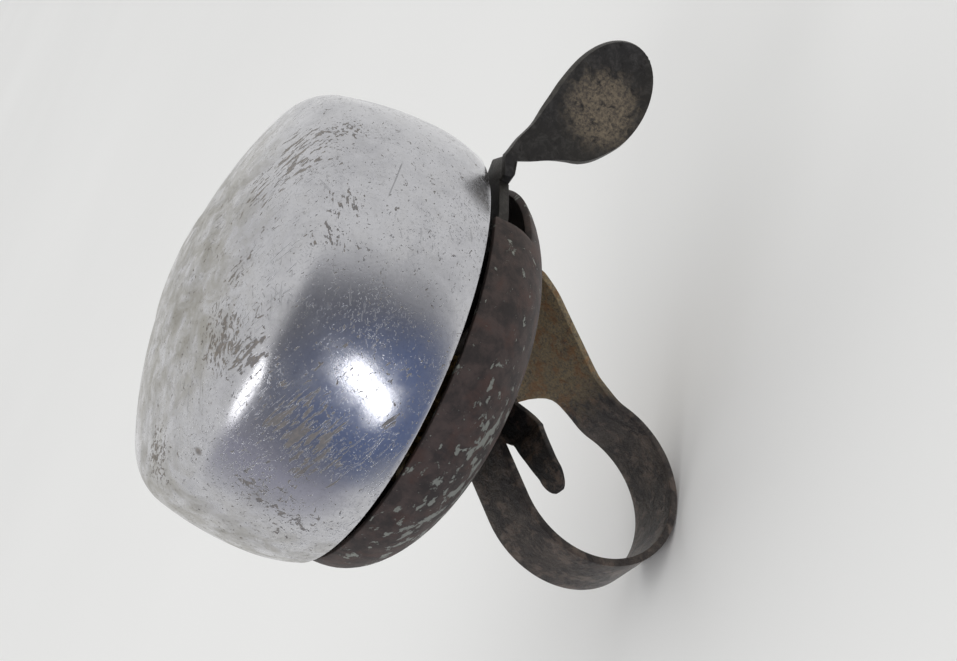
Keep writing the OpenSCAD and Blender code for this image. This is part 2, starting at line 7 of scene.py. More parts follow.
import json
import logging
import math
from collections.abc import Callable, Iterable, Mapping, Sequence
from dataclasses import dataclass
from enum import Enum

import bmesh
import bpy
from mathutils import Matrix, Vector

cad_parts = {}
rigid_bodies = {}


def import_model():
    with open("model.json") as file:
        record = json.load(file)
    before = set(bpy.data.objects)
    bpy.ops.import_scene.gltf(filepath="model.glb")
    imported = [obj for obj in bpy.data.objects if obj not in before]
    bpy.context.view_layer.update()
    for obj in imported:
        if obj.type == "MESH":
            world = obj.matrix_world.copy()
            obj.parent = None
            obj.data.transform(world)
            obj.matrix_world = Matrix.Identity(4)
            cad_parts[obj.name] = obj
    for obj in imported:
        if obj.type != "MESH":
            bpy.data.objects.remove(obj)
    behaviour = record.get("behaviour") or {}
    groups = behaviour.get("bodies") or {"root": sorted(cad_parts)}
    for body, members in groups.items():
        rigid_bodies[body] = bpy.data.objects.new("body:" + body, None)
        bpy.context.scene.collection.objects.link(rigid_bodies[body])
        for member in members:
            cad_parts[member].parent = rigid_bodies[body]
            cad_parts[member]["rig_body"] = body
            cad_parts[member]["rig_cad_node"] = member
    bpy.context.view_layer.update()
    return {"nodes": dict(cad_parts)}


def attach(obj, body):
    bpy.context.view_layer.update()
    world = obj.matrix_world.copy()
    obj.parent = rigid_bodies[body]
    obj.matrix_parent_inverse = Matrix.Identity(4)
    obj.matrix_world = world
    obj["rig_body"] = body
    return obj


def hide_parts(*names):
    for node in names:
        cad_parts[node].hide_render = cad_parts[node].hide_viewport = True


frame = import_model()

log = logging.getLogger("bell")

MM = 0.001
AXIS = Vector((0.0, 6.6, 0.0))

Colour = tuple[float, float, float]
Point = tuple[float, float, float]
Profile = list[tuple[float, float]]


class Body(Enum):
    """The CAD bodies that new pieces ride on."""

    MOUNT = "mount"
    GONG = "gong"
    LEVER = "lever"


class Pick(Enum):
    """What a selection in edit mode picks."""

    VERT = "VERT"
    EDGE = "EDGE"
    FACE = "FACE"


@dataclass(frozen=True)
class Edge:
    """How the cut edges of a sheet are rounded."""

    width: float
    steps: int
    sharp: float


# ---------------------------------------------------------------- bench


class Bench:
    """The bench that new meshes are made on, with Blender's own operators."""

    @staticmethod
    def clear() -> None:
        """Leaves edit mode and deselects every object."""
        if bpy.context.mode != "OBJECT":
            bpy.ops.object.mode_set(mode="OBJECT")
        bpy.ops.object.select_all(action="DESELECT")

    @staticmethod
    def take(obj: bpy.types.Object) -> None:
        """Makes one object the only selected and active one.

        Args:
            obj: The object to work on.
        """
        Bench.clear()
        obj.select_set(True)
        bpy.context.view_layer.objects.active = obj

    @staticmethod
    def name(title: str) -> bpy.types.Object:
        """Names the primitive that was just added.

        Args:
            title: The piece's name.

        Returns:
            The new object.
        """
        obj = bpy.context.active_object
        obj.name = title
        obj.data.name = title
        return obj

    @staticmethod
    def edit() -> None:
        """Enters edit mode with everything selected."""
        bpy.ops.object.mode_set(mode="EDIT")
        bpy.ops.mesh.select_all(action="SELECT")

    @staticmethod
    def pick(obj: bpy.types.Object, test: Callable[[Vector], bool], kind: Pick) -> None:
        """Selects vertices, edges or faces by where their middle is.

        Args:
            obj: The object in edit mode.
            test: Says whether a place, in millimetres, is picked.
            kind: What is picked.
        """
        bpy.ops.mesh.select_mode(type=kind.value)
        bpy.ops.mesh.select_all(action="DESELECT")
        mesh = bmesh.from_edit_mesh(obj.data)
        world = obj.matrix_world
        if kind is Pick.VERT:
            parts = [(v, v.co) for v in mesh.verts]
        elif kind is Pick.EDGE:
            parts = [(e, (e.verts[0].co + e.verts[1].co) / 2) for e in mesh.edges]
        else:
            parts = [(f, f.calc_center_median()) for f in mesh.faces]
        for part in [part for part, place in parts if test((world @ place) / MM)]:
            part.select_set(True)
        bmesh.update_edit_mesh(obj.data)

    @staticmethod
    def settle(obj: bpy.types.Object) -> None:
        """Puts an object's place, turn and scale into its mesh.

        Args:
            obj: The object to settle.
        """
        Bench.take(obj)
        bpy.ops.object.transform_apply(location=True, rotation=True, scale=True)

    @staticmethod
    def finish(obj: bpy.types.Object, kind: str, **settings: object) -> None:
        """Adds a modifier and applies it.

        Args:
            obj: The object that is finished.
            kind: The modifier's type.
            **settings: The modifier's settings.
        """
        Bench.take(obj)
        bpy.ops.object.modifier_add(type=kind)
        modifier = obj.modifiers[-1]
        for key, value in settings.items():
            setattr(modifier, key, value)
        bpy.ops.object.modifier_apply(modifier=modifier.name)

    @staticmethod
    def thicken(
        obj: bpy.types.Object, sheet: float, offset: int, edge: Edge, **settings: object
    ) -> None:
        """Gives a skin its sheet's thickness and rounds the edges.

        Args:
            obj: The skin, one face thick.
            sheet: The thickness.
            offset: -1 to grow inwards and 0 to grow both ways.
            edge: The rounding of its edges.
            **settings: More settings of the Solidify modifier.
        """
        even = {"use_even_offset": True, **settings}
        Bench.finish(obj, "SOLIDIFY", thickness=sheet * MM, offset=offset, **even)
        Bench.finish(
            obj,
            "BEVEL",
            width=edge.width * MM,
            segments=edge.steps,
            limit_method="ANGLE",
            angle_limit=math.radians(edge.sharp),
        )

    @staticmethod
    def outwards() -> None:
        """Merges doubles and turns all faces outwards, in edit mode."""
        bpy.ops.mesh.select_mode(type="VERT")
        bpy.ops.mesh.select_all(action="SELECT")
        bpy.ops.mesh.remove_doubles(threshold=0.002 * MM)
        bpy.ops.mesh.normals_make_consistent(inside=False)
        bpy.ops.object.mode_set(mode="OBJECT")

    @staticmethod
    def smooth(obj: bpy.types.Object, degrees: float = 35.0) -> None:
        """Shades an object smooth, apart from its sharp edges.

        Args:
            obj: The object to shade.
            degrees: Edges sharper than this stay sharp.
        """
        Bench.take(obj)
        bpy.ops.object.shade_smooth_by_angle(angle=math.radians(degrees))

    @staticmethod
    def spin_up(title: str, profile: Profile, sides: int) -> bpy.types.Object:
        """Draws a ring and pulls it along a profile, as a bowl is spun from sheet.

        Args:
            title: The piece's name.
            profile: Radius and height of each ring. A last radius of 0 closes the bowl.
            sides: How many sides a ring has.

        Returns:
            The bowl, one face thick, facing outwards.
        """
        Bench.clear()
        radius, height = profile[0]
        bpy.ops.mesh.primitive_circle_add(
            vertices=sides,
            radius=radius * MM,
            fill_type="NOTHING",
            location=(AXIS + Vector((0, 0, height))) * MM,
        )
        obj = Bench.name(title)
        Bench.edit()
        for next_radius, next_height in profile[1:]:
            rise = (0, 0, (next_height - height) * MM)
            bpy.ops.mesh.extrude_region_move(TRANSFORM_OT_translate={"value": rise})
            if next_radius > 0:
                ratio = next_radius / radius
                middle = (AXIS + Vector((0, 0, next_height))) * MM
                bpy.ops.transform.resize(
                    value=(ratio, ratio, 1), center_override=middle
                )
            else:
                bpy.ops.mesh.merge(type="CENTER")
            radius, height = next_radius, next_height
        Bench.outwards()
        Bench.settle(obj)
        return obj

    @staticmethod
    def strip(
        title: str, path: Sequence[tuple[float, float, float, float]], columns: int
    ) -> bpy.types.Object:
        """Pulls an edge along a path that lies in Y and Z, as a strip is bent.

        Args:
            title: The piece's name.
            path: Y, Z, lowest X and highest X of each step.
            columns: How many faces the strip is wide.

        Returns:
            The strip, one face thick.
        """
        Bench.clear()
        y, z, low, high = path[0]
        bpy.ops.mesh.primitive_plane_add(
            size=MM, location=((low + high) / 2 * MM, (y + 0.5) * MM, z * MM)
        )
        obj = Bench.name(title)
        Bench.edit()
        bpy.ops.mesh.delete(type="ONLY_FACE")
        Bench.pick(obj, lambda place: place.y > y + 0.5, Pick.VERT)
        bpy.ops.mesh.delete(type="VERT")
        bpy.ops.mesh.select_mode(type="EDGE")
        bpy.ops.mesh.select_all(action="SELECT")
        middle = Vector(((low + high) / 2, y, z))
        bpy.ops.transform.resize(
            value=(high - low, 1, 1), center_override=middle * MM
        )
        bpy.ops.mesh.subdivide(number_cuts=columns - 1)
        for next_y, next_z, next_low, next_high in path[1:]:
            target = Vector(((next_low + next_high) / 2, next_y, next_z))
            bpy.ops.mesh.extrude_region_move(
                TRANSFORM_OT_translate={"value": (target - middle) * MM}
            )
            bpy.ops.transform.resize(
                value=((next_high - next_low) / (high - low), 1, 1),
                center_override=target * MM,
            )
            middle, low, high = target, next_low, next_high
        Bench.outwards()
        Bench.settle(obj)
        return obj


def arc(
    centre: tuple[float, float], radius: float, start: float, end: float, steps: int
) -> Profile:
    """Points of an arc.

    Args:
        centre: The arc's centre.
        radius: Its radius.
        start: Its first angle in degrees.
        end: Its last angle in degrees.
        steps: How many steps it has.

    Returns:
        The points, both ends among them.
    """
    angles = [math.radians(start + (end - start) * i / steps) for i in range(steps + 1)]
    return [
        (centre[0] + radius * math.cos(a), centre[1] + radius * math.sin(a))
        for a in angles
    ]


def along(table: Sequence[tuple[float, float]], at: float) -> float:
    """Reads a table smoothly between its entries.

    Args:
        table: Pairs of place and value, in rising order of place.
        at: The place to read.

    Returns:
        The value there, level beyond the table's ends.
    """
    if at <= table[0][0]:
        return table[0][1]
    if at >= table[-1][0]:
        return table[-1][1]
    i = next(k for k in range(len(table) - 1) if table[k + 1][0] >= at)
    (x0, y0), (x1, y1) = table[i], table[i + 1]

    def slope(k: int) -> float:
        """Slope of the table at entry k, from its neighbours."""
        a, b = table[max(k - 1, 0)], table[min(k + 1, len(table) - 1)]
        return (b[1] - a[1]) / (b[0] - a[0])

    t, h = (at - x0) / (x1 - x0), x1 - x0
    return (
        y0 * (2 * t**3 - 3 * t**2 + 1)
        + h * slope(i) * (t**3 - 2 * t**2 + t)
        + y1 * (3 * t**2 - 2 * t**3)
        + h * slope(i + 1) * (t**3 - t**2)
    )


def ramp(value: float, low: float, high: float) -> float:
    """How far a value is from low to high, between 0 and 1."""
    return max(0.0, min((value - low) / (high - low), 1.0))


def ease(value: float, low: float, high: float) -> float:
    """A ramp with soft ends."""
    share = ramp(value, low, high)
    return share * share * (3 - 2 * share)


def meeting(
    p: tuple[float, float], r: float, q: tuple[float, float], s: float
) -> tuple[float, float]:
    """Right-hand meeting point of two circles.

    Args:
        p: Centre of the first circle.
        r: Its radius.
        q: Centre of the second circle.
        s: Its radius.

    Returns:
        The point where they meet.
    """
    dx, dy = q[0] - p[0], q[1] - p[1]
    d = math.hypot(dx, dy)
    a = (r * r - s * s + d * d) / (2 * d)
    h = math.sqrt(r * r - a * a)
    return (p[0] + (a * dx - h * dy) / d, p[1] + (a * dy + h * dx) / d)


# ---------------------------------------------------------------- finishes


class Line:
    """A socket's value in a node tree, on which arithmetic adds Math nodes."""

    def __init__(self, tree: "Tree", socket: bpy.types.NodeSocket) -> None:
        """Wraps a socket of a tree."""
        self.tree = tree
        self.socket = socket

    def _math(self, operation: str, *values: "Line | float") -> "Line":
        """Adds a Math node."""
        return self.tree.node("Math", {"operation": operation}, dict(enumerate(values)))

    def __add__(self, other: "Line | float") -> "Line":
        """Sum."""
        return self._math("ADD", self, other)

    def __sub__(self, other: "Line | float") -> "Line":
        """Difference."""
        return self._math("SUBTRACT", self, other)

    def __rsub__(self, other: "Line | float") -> "Line":
        """Difference, the other way round."""
        return self._math("SUBTRACT", other, self)

    def __mul__(self, other: "Line | float") -> "Line":
        """Product."""
        return self._math("MULTIPLY", self, other)

    __radd__ = __add__
    __rmul__ = __mul__

    def __abs__(self) -> "Line":
        """Size without sign."""
        return self._math("ABSOLUTE", self)

    def __or__(self, other: "Line") -> "Line":
        """The larger of two masks, which is where either is."""
        return self._math("MAXIMUM", self, other)


class Tree:
    """A node tree that is written as expressions."""

    def __init__(self, tree: bpy.types.NodeTree) -> None:
        """Empties a tree.

        Args:
            tree: The tree of a material or a world that uses nodes.
        """
        self.nodes, self.links = tree.nodes, tree.links
        self.nodes.clear()

    def node(
        self,
        kind: str,
        settings: Mapping[str, object] | None = None,
        sockets: Mapping[str | int, object] | None = None,
        output: str | int = 0,
    ) -> Line:
        """Adds any node.

        Args:
            kind: The node's type, without its ShaderNode prefix.
            settings: What is set on the node first.
            sockets: Values or lines for its sockets.
            output: The output that is wanted.

        Returns:
            That output.
        """
        made = self.nodes.new("ShaderNode" + kind)
        for key, value in (settings or {}).items():
            setattr(made, key, value)
        for key, value in (sockets or {}).items():
            if isinstance(value, Line):
                self.links.new(value.socket, made.inputs[key])
            else:
                made.inputs[key].default_value = value
        return Line(self, made.outputs[output])

    def blend(self, mask: Line | float, low: object, high: object) -> Line:
        """Mixes two colours.

        Args:
            mask: 0 for the first colour and 1 for the second.
            low: The first colour.
            high: The second colour.

        Returns:
            The mixed colour.
        """
        ends = [c if isinstance(c, Line) else (*c, 1.0) for c in (low, high)]
        return self.node(
            "Mix", {"data_type": "RGBA"}, {0: mask, 6: ends[0], 7: ends[1]}, 2
        )

    def end(self, surface: Line, kind: str = "Material") -> None:
        """Joins the last shader to the tree's output.

        Args:
            surface: The shader.
            kind: Material or World.
        """
        out = self.nodes.new("ShaderNodeOutput" + kind)
        self.links.new(surface.socket, out.inputs["Surface"])


class Coat(Tree):
    """The node tree of one finish, read in millimetres on the piece itself."""

    def __init__(self, title: str) -> None:
        """Starts an empty material.

        Args:
            title: The material's name.
        """
        self.material = bpy.data.materials.new(title)
        self.material.use_nodes = True
        super().__init__(self.material.node_tree)
        place = self.node("TexCoord", output="Object")
        self.mm = self.node(
            "VectorMath", {"operation": "SCALE"}, {0: place, "Scale": 1 / MM}
        )
        self._split: bpy.types.Node | None = None

    def axis(self, letter: str) -> Line:
        """One of the place's coordinates in millimetres.

        Args:
            letter: X, Y or Z.

        Returns:
            That coordinate.
        """
        if self._split is None:
            self._split = self.node("SeparateXYZ", sockets={0: self.mm}).socket.node
        return Line(self, self._split.outputs[letter])

    def local(self, centre: Point, scale: Point, heading: Point = (1, 0, 0)) -> Line:
        """The place in a frame of its own, whose X runs along a heading.

        Args:
            centre: The frame's origin.
            scale: Millimetres to one unit of each of its axes.
            heading: The direction of its X axis.

        Returns:
            The place in that frame.
        """
        turn = Vector(heading).to_track_quat("X", "Z").to_euler()
        return self.node(
            "Mapping",
            {"vector_type": "TEXTURE"},
            {"Vector": self.mm, "Location": centre, "Rotation": turn, "Scale": scale},
        )

    def noise(
        self,
        scale: float,
        detail: float = 4.0,
        rough: float = 0.55,
        bend: float = 0.0,
        place: Line | None = None,
    ) -> Line:
        """A cloudy pattern.

        Args:
            scale: Lumps to a millimetre.
            detail: How many finer layers it has.
            rough: How strong they are.
            bend: How much it is curled.
            place: Where it is read, the piece's own place if none.

        Returns:
            Its height, from 0 to 1.
        """
        return self.node(
            "TexNoise",
            {"normalize": True},
            {
                "Vector": place or self.mm,
                "Scale": scale,
                "Detail": detail,
                "Roughness": rough,
                "Distortion": bend,
            },
        )

    def step(self, value: Line, low: float, high: float) -> Line:
        """A soft step from 0 at low to 1 at high.

        Args:
            value: What is tested.
            low: Where the step starts.
            high: Where it ends; below low, the step falls.

        Returns:
            The mask.
        """
        flip = high < low
        settings = {"interpolation_type": "SMOOTHSTEP"}
        ends = (high, low) if flip else (low, high)
        sockets = {"Value": value, 1: ends[0], 2: ends[1], 3: float(flip)}
        return self.node("MapRange", settings, {**sockets, 4: float(not flip)})

    def near(self, centre: Point, radius: float, soft: float = 0.5) -> Line:
        """A soft ball of a mask.

        Args:
            centre: The ball's centre.
            radius: Its radius.
            soft: The share of its radius over which it fades.

        Returns:
            1 inside and 0 outside.
        """
        gap = self.node(
            "VectorMath", {"operation": "DISTANCE"}, {0: self.mm, 1: centre}, "Value"
        )
        return self.step(gap, radius, radius * (1 - soft))

    def hairs(self, heading: Point, scale: float, stretch: float, few: float) -> Line:
        """Long thin scratches along a heading.

        Args:
            heading: The direction of the scratches.
            scale: Scratches to a millimetre, about.
            stretch: How much longer than wide they are.
            few: The height of the pattern from which it is a scratch.

        Returns:
            1 on a scratch.
        """
        place = self.local((3, 1, 2), (stretch, 1, 1), heading)
        return self.step(self.noise(scale, 1, 0.5, 0, place), few, few + 0.03)

    def bump(self, height: Line, depth: float, under: Line | None = None) -> Line:
        """Turns a height into a bumped normal.

        Args:
            height: The height, from 0 to 1.
            depth: How many millimetres 1 is.
            under: A normal that it is laid on.

        Returns:
            The normal.
        """
        sockets = {"Height": height, "Distance": depth * MM, "Strength": 1.0}
        if under is not None:
            sockets["Normal"] = under
        return self.node("Bump", {}, sockets)

    def done(self, **sockets: object) -> bpy.types.Material:
        """Ends the finish in a shader.

        Args:
            **sockets: The shader's sockets, with _ for a space.

        Returns:
            The material.
        """
        named = {key.replace("_", " "): value for key, value in sockets.items()}
        self.end(self.node("BsdfPrincipled", {}, named))
        return self.material


@dataclass(frozen=True)
class Scuff:
    """A patch of marks on the plating."""

    centre: Point
    radius: float
    heading: Point
    stretch: float
    scale: float
    cover: float
    bend: float = 0.0

    def mask(self, coat: Coat) -> Line:
        """Where the marks are.

        Args:
            coat: The finish that they are in.

        Returns:
            1 on a mark.
        """
        place = coat.local(self.centre, (self.stretch, 1, 1), self.heading)
        marks = coat.noise(self.scale, 3, 0.6, self.bend, place)
        patch = coat.near(self.centre, self.radius, 0.85)
        return coat.step(marks + (patch - 1) * 0.2, self.cover, self.cover + 0.035)


SLANT: Point = (0.78, 0.52, -0.34)
SCUFFS = (
    Scuff((22.0, 12.7, 52.7), 8.0, SLANT, 4.0, 2.0, 0.50),
    Scuff((17.2, 9.2, 54.8), 7.0, SLANT, 4.0, 1.9, 0.52),
    Scuff((24.7, 16.2, 48.6), 3.4, (0.3, 0.9, 0.1), 2.0, 2.2, 0.50),
    Scuff((26.8, 4.8, 47.7), 4.0, (0.2, 0.9, 0.3), 2.5, 2.2, 0.52),
    Scuff((25.8, -0.5, 48.2), 3.6, (0.2, 0.9, 0.3), 2.0, 2.2, 0.52),
    Scuff((12.9, -9.2, 53.8), 6.6, (0.3, 0.9, 0.1), 1.6, 1.2, 0.47, 1.4),
    Scuff((16.2, -12.0, 51.3), 4.4, SLANT, 3.5, 1.8, 0.49),
    Scuff((15.2, -1.7, 54.8), 4.4, SLANT, 3.0, 1.8, 0.53),
    Scuff((-5.2, -15.6, 52.7), 6.0, (1, 0, 0), 1.5, 1.5, 0.49, 1.0),
    Scuff((15.2, -17.0, 43.0), 7.6, SLANT, 7.0, 1.9, 0.50),
    Scuff((12.8, -18.2, 40.0), 7.0, SLANT, 7.0, 1.9, 0.51),
    Scuff((18.8, -14.7, 34.7), 2.4, SLANT, 5.0, 2.2, 0.52),
    Scuff((5.0, -20.9, 42.5), 6.0, (0.3, 0.1, 1), 1.5, 1.5, 0.53, 0.8),
    Scuff((3.1, -21.7, 37.4), 6.0, (0.3, 0.1, 1), 1.4, 1.4, 0.53, 0.8),
    Scuff((-15.0, 22.0, 52.0), 9.0, (1, 0.4, 0.2), 3.5, 1.6, 0.50, 0.4),
    Scuff((-22.0, -8.0, 44.0), 9.0, (0.4, -0.8, 0.4), 4.0, 1.6, 0.51, 0.4),
    Scuff((-10.0, 33.0, 40.0), 8.0, (0.9, 0.2, -0.4), 5.0, 1.7, 0.50),
)


@dataclass(frozen=True)
class WornPlating:
    """Bright plating on the gong, hazed, scratched and rusting through in spots."""

    bright: Colour = (0.53, 0.53, 0.55)
    hazed: Colour = (0.41, 0.41, 0.43)
    dull: Colour = (0.25, 0.25, 0.26)
    rust: Colour = (0.15, 0.115, 0.075)
    pit: Colour = (0.06, 0.05, 0.04)
    stain: Colour = (0.28, 0.265, 0.225)

    def coat(self) -> bpy.types.Material:
        """Mixes the finish.

        Returns:
            The material.
        """
        c = Coat("worn_plating")
        haze = c.step(c.noise(0.16, 8, 0.66, 0.4), 0.4, 0.66)
        mottle = c.noise(2.4, 6, 0.72)
        smear = c.noise(0.6, 5, 0.62, 0, c.local((0, 0, 0), (6, 1, 1), SLANT))
        hairs = c.hairs((0.3, 0.9, 0.35), 3.4, 14, 0.66)
        hairs = hairs | c.hairs(SLANT, 3.8, 16, 0.65)
        hairs = hairs | c.hairs((-0.4, 0.7, 0.6), 3.0, 18, 0.68)
        hairs = hairs * c.step(c.noise(0.13, 3), 0.42, 0.6)
        rise = c.axis("Z") - c.axis("Y") * -0.16 - 44.55
        gouge = c.near((27.7, 9.8, 43.0), 3.4, 0.3) * c.step(abs(rise), 0.12, 0.02)
        marks = SCUFFS[0].mask(c)
        for scuff in SCUFFS[1:]:
            marks = marks | scuff.mask(c)
        marks = marks | c.near((4.3, -18.5, 50.3), 0.75, 0.5)
        specks = c.step(c.noise(2.6, 3, 0.6), 0.69, 0.73) * c.step(
            c.noise(0.2, 4, 0.6), 0.42, 0.6
        )
        # Stains are heavier, and rust crusts form, on the crown and on the low side
        # towards -X and -Y, which come out darker and browner.
        top = c.step(c.axis("Z"), 50.5, 55.5) * c.step(c.axis("X"), 24, 8)
        lower = c.step(c.axis("Y"), -4, -16) * c.step(c.axis("X"), 8, -10)
        crown_and_low_side = top | lower
        stains = (0.2 + crown_and_low_side * 0.8) * c.step(
            c.noise(0.3, 9, 0.7, 0.5) + crown_and_low_side * 0.16, 0.42, 0.8
        )
        crust = crown_and_low_side * c.step(c.noise(1.2, 9, 0.75, 0.8), 0.6, 0.68)
        marks = marks | crust * 0.6
        colour = c.blend(haze * 0.6 + mottle * 0.4, self.bright, self.hazed)
        colour = c.blend(c.step(mottle, 0.5, 0.75) * 0.35, colour, self.dull)
        colour = c.blend(stains * 0.8, colour, self.stain)
        colour = c.blend(hairs * 0.4, colour, self.dull)
        tone = c.blend(c.step(c.noise(2.2, 5, 0.7), 0.35, 0.65), self.pit, self.rust)
        bare = marks | specks
        colour = c.blend(bare * 0.72, colour, tone)
        colour = c.blend(gouge * 0.8, colour, self.dull)
        rough = 0.12 + haze * 0.1 + smear * 0.1 + stains * 0.2 + hairs * 0.12
        rough = rough + bare * 0.35
        skin = c.noise(1.3, 6, 0.68)
        normal = c.bump(c.noise(0.06, 2, 0.4), 0.5)
        normal = c.bump(skin, 0.008, normal)
        worn = bare | gouge | hairs * 0.3
        normal = c.bump(1 - worn, 0.05, normal)
        return c.done(
            Base_Color=colour,
            Roughness=rough,
            Metallic=1 - bare * 0.8,
            Normal=normal,
        )


@dataclass(frozen=True)
class FlakedEnamel:
    """Rusted pan sheet with flakes of pale old enamel left on it, and painted shade on
    its +Y side.
    """

    rust: Colour = (0.078, 0.056, 0.048)
    dark: Colour = (0.034, 0.027, 0.024)
    red: Colour = (0.085, 0.045, 0.034)
    flake: Colour = (0.27, 0.28, 0.24)
    ochre: Colour = (0.20, 0.14, 0.07)

    def coat(self) -> bpy.types.Material:
        """Mixes the finish.

        Returns:
            The material.
        """
        c = Coat("flaked_enamel")
        ground = c.noise(0.45, 8, 0.68, 0.3)
        grain = c.noise(3.0, 5, 0.7)
        low = c.step(c.axis("Y"), 2, -15)
        outer = c.step(c.axis("Z"), 28, 20)
        reach = low * (0.3 + 0.7 * outer)
        sheet = c.noise(0.62, 9, 0.62, 0.2, c.local((0, 0, 0), (1.6, 1, 1), SLANT))
        flakes = c.step(sheet + reach * 0.12, 0.625, 0.645)
        chips = c.step(c.noise(1.5, 7, 0.66) + reach * 0.05, 0.66, 0.69)
        flakes = flakes | chips * 0.7
        colour = c.blend(c.step(ground, 0.35, 0.65), self.dark, self.rust)
        colour = c.blend(c.step(c.noise(0.3, 6, 0.6), 0.5, 0.7) * 0.6, colour, self.red)
        back = c.step(c.axis("Z"), 19, 17) * c.step(c.noise(0.3, 7, 0.7), 0.4, 0.6)
        colour = c.blend(back * 0.7, colour, self.ochre)
        # Painted shade: the pan darkens towards +Y on its +X side.
        shaded = c.step(c.axis("Y"), 19, 27) * c.step(c.axis("X"), -2, 8)
        colour = c.blend(shaded * 0.7, colour, self.dark)
        shade = c.blend(grain, (0.14, 0.14, 0.115), self.flake)
        colour = c.blend(flakes, colour, shade)
        height = grain * 0.3 + flakes * 0.5
        return c.done(
            Base_Color=colour,
            Roughness=0.62 + grain * 0.2 - flakes * 0.1,
            Metallic=0.25 * (1 - flakes),
            Normal=c.bump(height, 0.12),
            Specular_IOR_Level=0.4,
        )


@dataclass(frozen=True)
class RustedStrip:
    """Rusted strip steel, ochre where it is matt and nearly black where it is rubbed."""

    title: str
    ochre: Colour
    brown: Colour
    black: Colour
    plate_from: float
    plate_to: float
    shine: float

    def coat(self) -> bpy.types.Material:
        """Mixes the finish.

        Returns:
            The material.
        """
        c = Coat(self.title)
        plate = c.step(c.axis("Y"), self.plate_from, self.plate_to)
        cloud = c.noise(0.32, 8, 0.7, 0.6)
        grain = c.noise(2.6, 6, 0.72)
        patch = c.step(c.noise(0.45, 8, 0.7, 0.3), 0.49, 0.6)
        spots = c.step(c.noise(1.3, 6, 0.72), 0.58, 0.66)
        colour = c.blend(c.step(cloud, 0.35, 0.65), self.black, self.brown)
        warm = c.blend(c.step(grain, 0.3, 0.7), (0.10, 0.08, 0.052), self.ochre)
        reach = plate * c.step(cloud + plate * 0.16, 0.45, 0.6)
        colour = c.blend(reach, colour, warm)
        orange = c.blend(grain, (0.10, 0.045, 0.015), (0.34, 0.165, 0.05))
        colour = c.blend(patch * (0.14 + plate * 0.66), colour, orange)
        colour = c.blend(spots * 0.8, colour, self.black)
        pits = c.step(c.noise(0.9, 7, 0.7), 0.35, 0.6)
        normal = c.bump(grain, 0.07, c.bump(pits, 0.1))
        return c.done(
            Base_Color=colour,
            Roughness=self.shine + grain * 0.25 + plate * 0.2,
            Metallic=0.55 * (1 - plate) * (1 - patch),
            Normal=normal,
        )


STRAP = RustedStrip(
    title="rusted_strap",
    ochre=(0.34, 0.25, 0.12),
    brown=(0.062, 0.049, 0.040),
    black=(0.017, 0.013, 0.012),
    plate_from=11.0,
    plate_to=15.5,
    shine=0.36,
)
# Dark rusted steel for the steady tab, with every colour taken near black as painted
# shade.
TAB_IN_PAINTED_SHADE = RustedStrip(
    title="tab_with_painted_shade",
    ochre=(0.03, 0.025, 0.02),
    brown=(0.016, 0.013, 0.011),
    black=(0.006, 0.005, 0.005),
    plate_from=20,
    plate_to=30,
    shine=0.5,
)


@dataclass(frozen=True)
class ThumbedSteel:
    """Lever steel, dark all over, worn to pale metal on edges and tan in the dish."""

    dark: Colour = (0.030, 0.027, 0.023)
    worn: Colour = (0.13, 0.12, 0.105)
    tan: Colour = (0.21, 0.165, 0.105)
    dish: Point = (30.2, 32.2, 20.0)

    def coat(self) -> bpy.types.Material:
        """Mixes the finish.

        Returns:
            The material.
        """
        c = Coat("thumbed_steel")
        grain = c.noise(2.4, 7, 0.72)
        cloud = c.noise(0.6, 6, 0.66, 0.4)
        wear = c.step(c.noise(0.9, 7, 0.72, 0.5), 0.42, 0.75)
        colour = c.blend(wear * 0.4, self.dark, self.worn)
        dish = c.near(self.dish, 6.6, 0.6)
        rust = dish * c.step(cloud + dish * 0.14, 0.46, 0.62)
        tone = c.blend(c.step(grain, 0.35, 0.65), (0.06, 0.047, 0.035), self.tan)
        colour = c.blend(rust, colour, tone)
        spots = c.step(c.noise(1.6, 6, 0.72), 0.6, 0.66)
        colour = c.blend(spots * 0.7, colour, (0.02, 0.016, 0.014))
        return c.done(
            Base_Color=colour,
            Roughness=0.42 + grain * 0.25 + rust * 0.2,
            Metallic=0.6 * (1 - rust),
            Normal=c.bump(grain * 0.6 + spots * 0.4, 0.08),
        )


@dataclass(frozen=True)
class WorksMetal:
    """Metal of the works: machined, then dulled by oil, dust and age."""

    title: str
    clean: Colour
    grime: Colour
    shine: float
    soil: float
    lines: Point = (1, 1, 1)

    def coat(self) -> bpy.types.Material:
        """Mixes the finish.

        Returns:
            The material.
        """
        c = Coat(self.title)
        cloud = c.noise(0.5, 7, 0.68, 0.4)
        grain = c.noise(3.2, 5, 0.65)
        cut = c.noise(2.0, 2, 0.5, 0, c.local((0, 0, 0), self.lines))
        soiled = c.step(cloud + (self.soil - 0.5) * 0.4, 0.42, 0.62)
        colour = c.blend(soiled * (0.45 + grain * 0.5), self.clean, self.grime)
        return c.done(
            Base_Color=colour,
            Roughness=self.shine + soiled * 0.25 + grain * 0.1,
            Metallic=1 - soiled * 0.5,
            Normal=c.bump(cut * 0.6 + grain * 0.4, 0.03),
        )


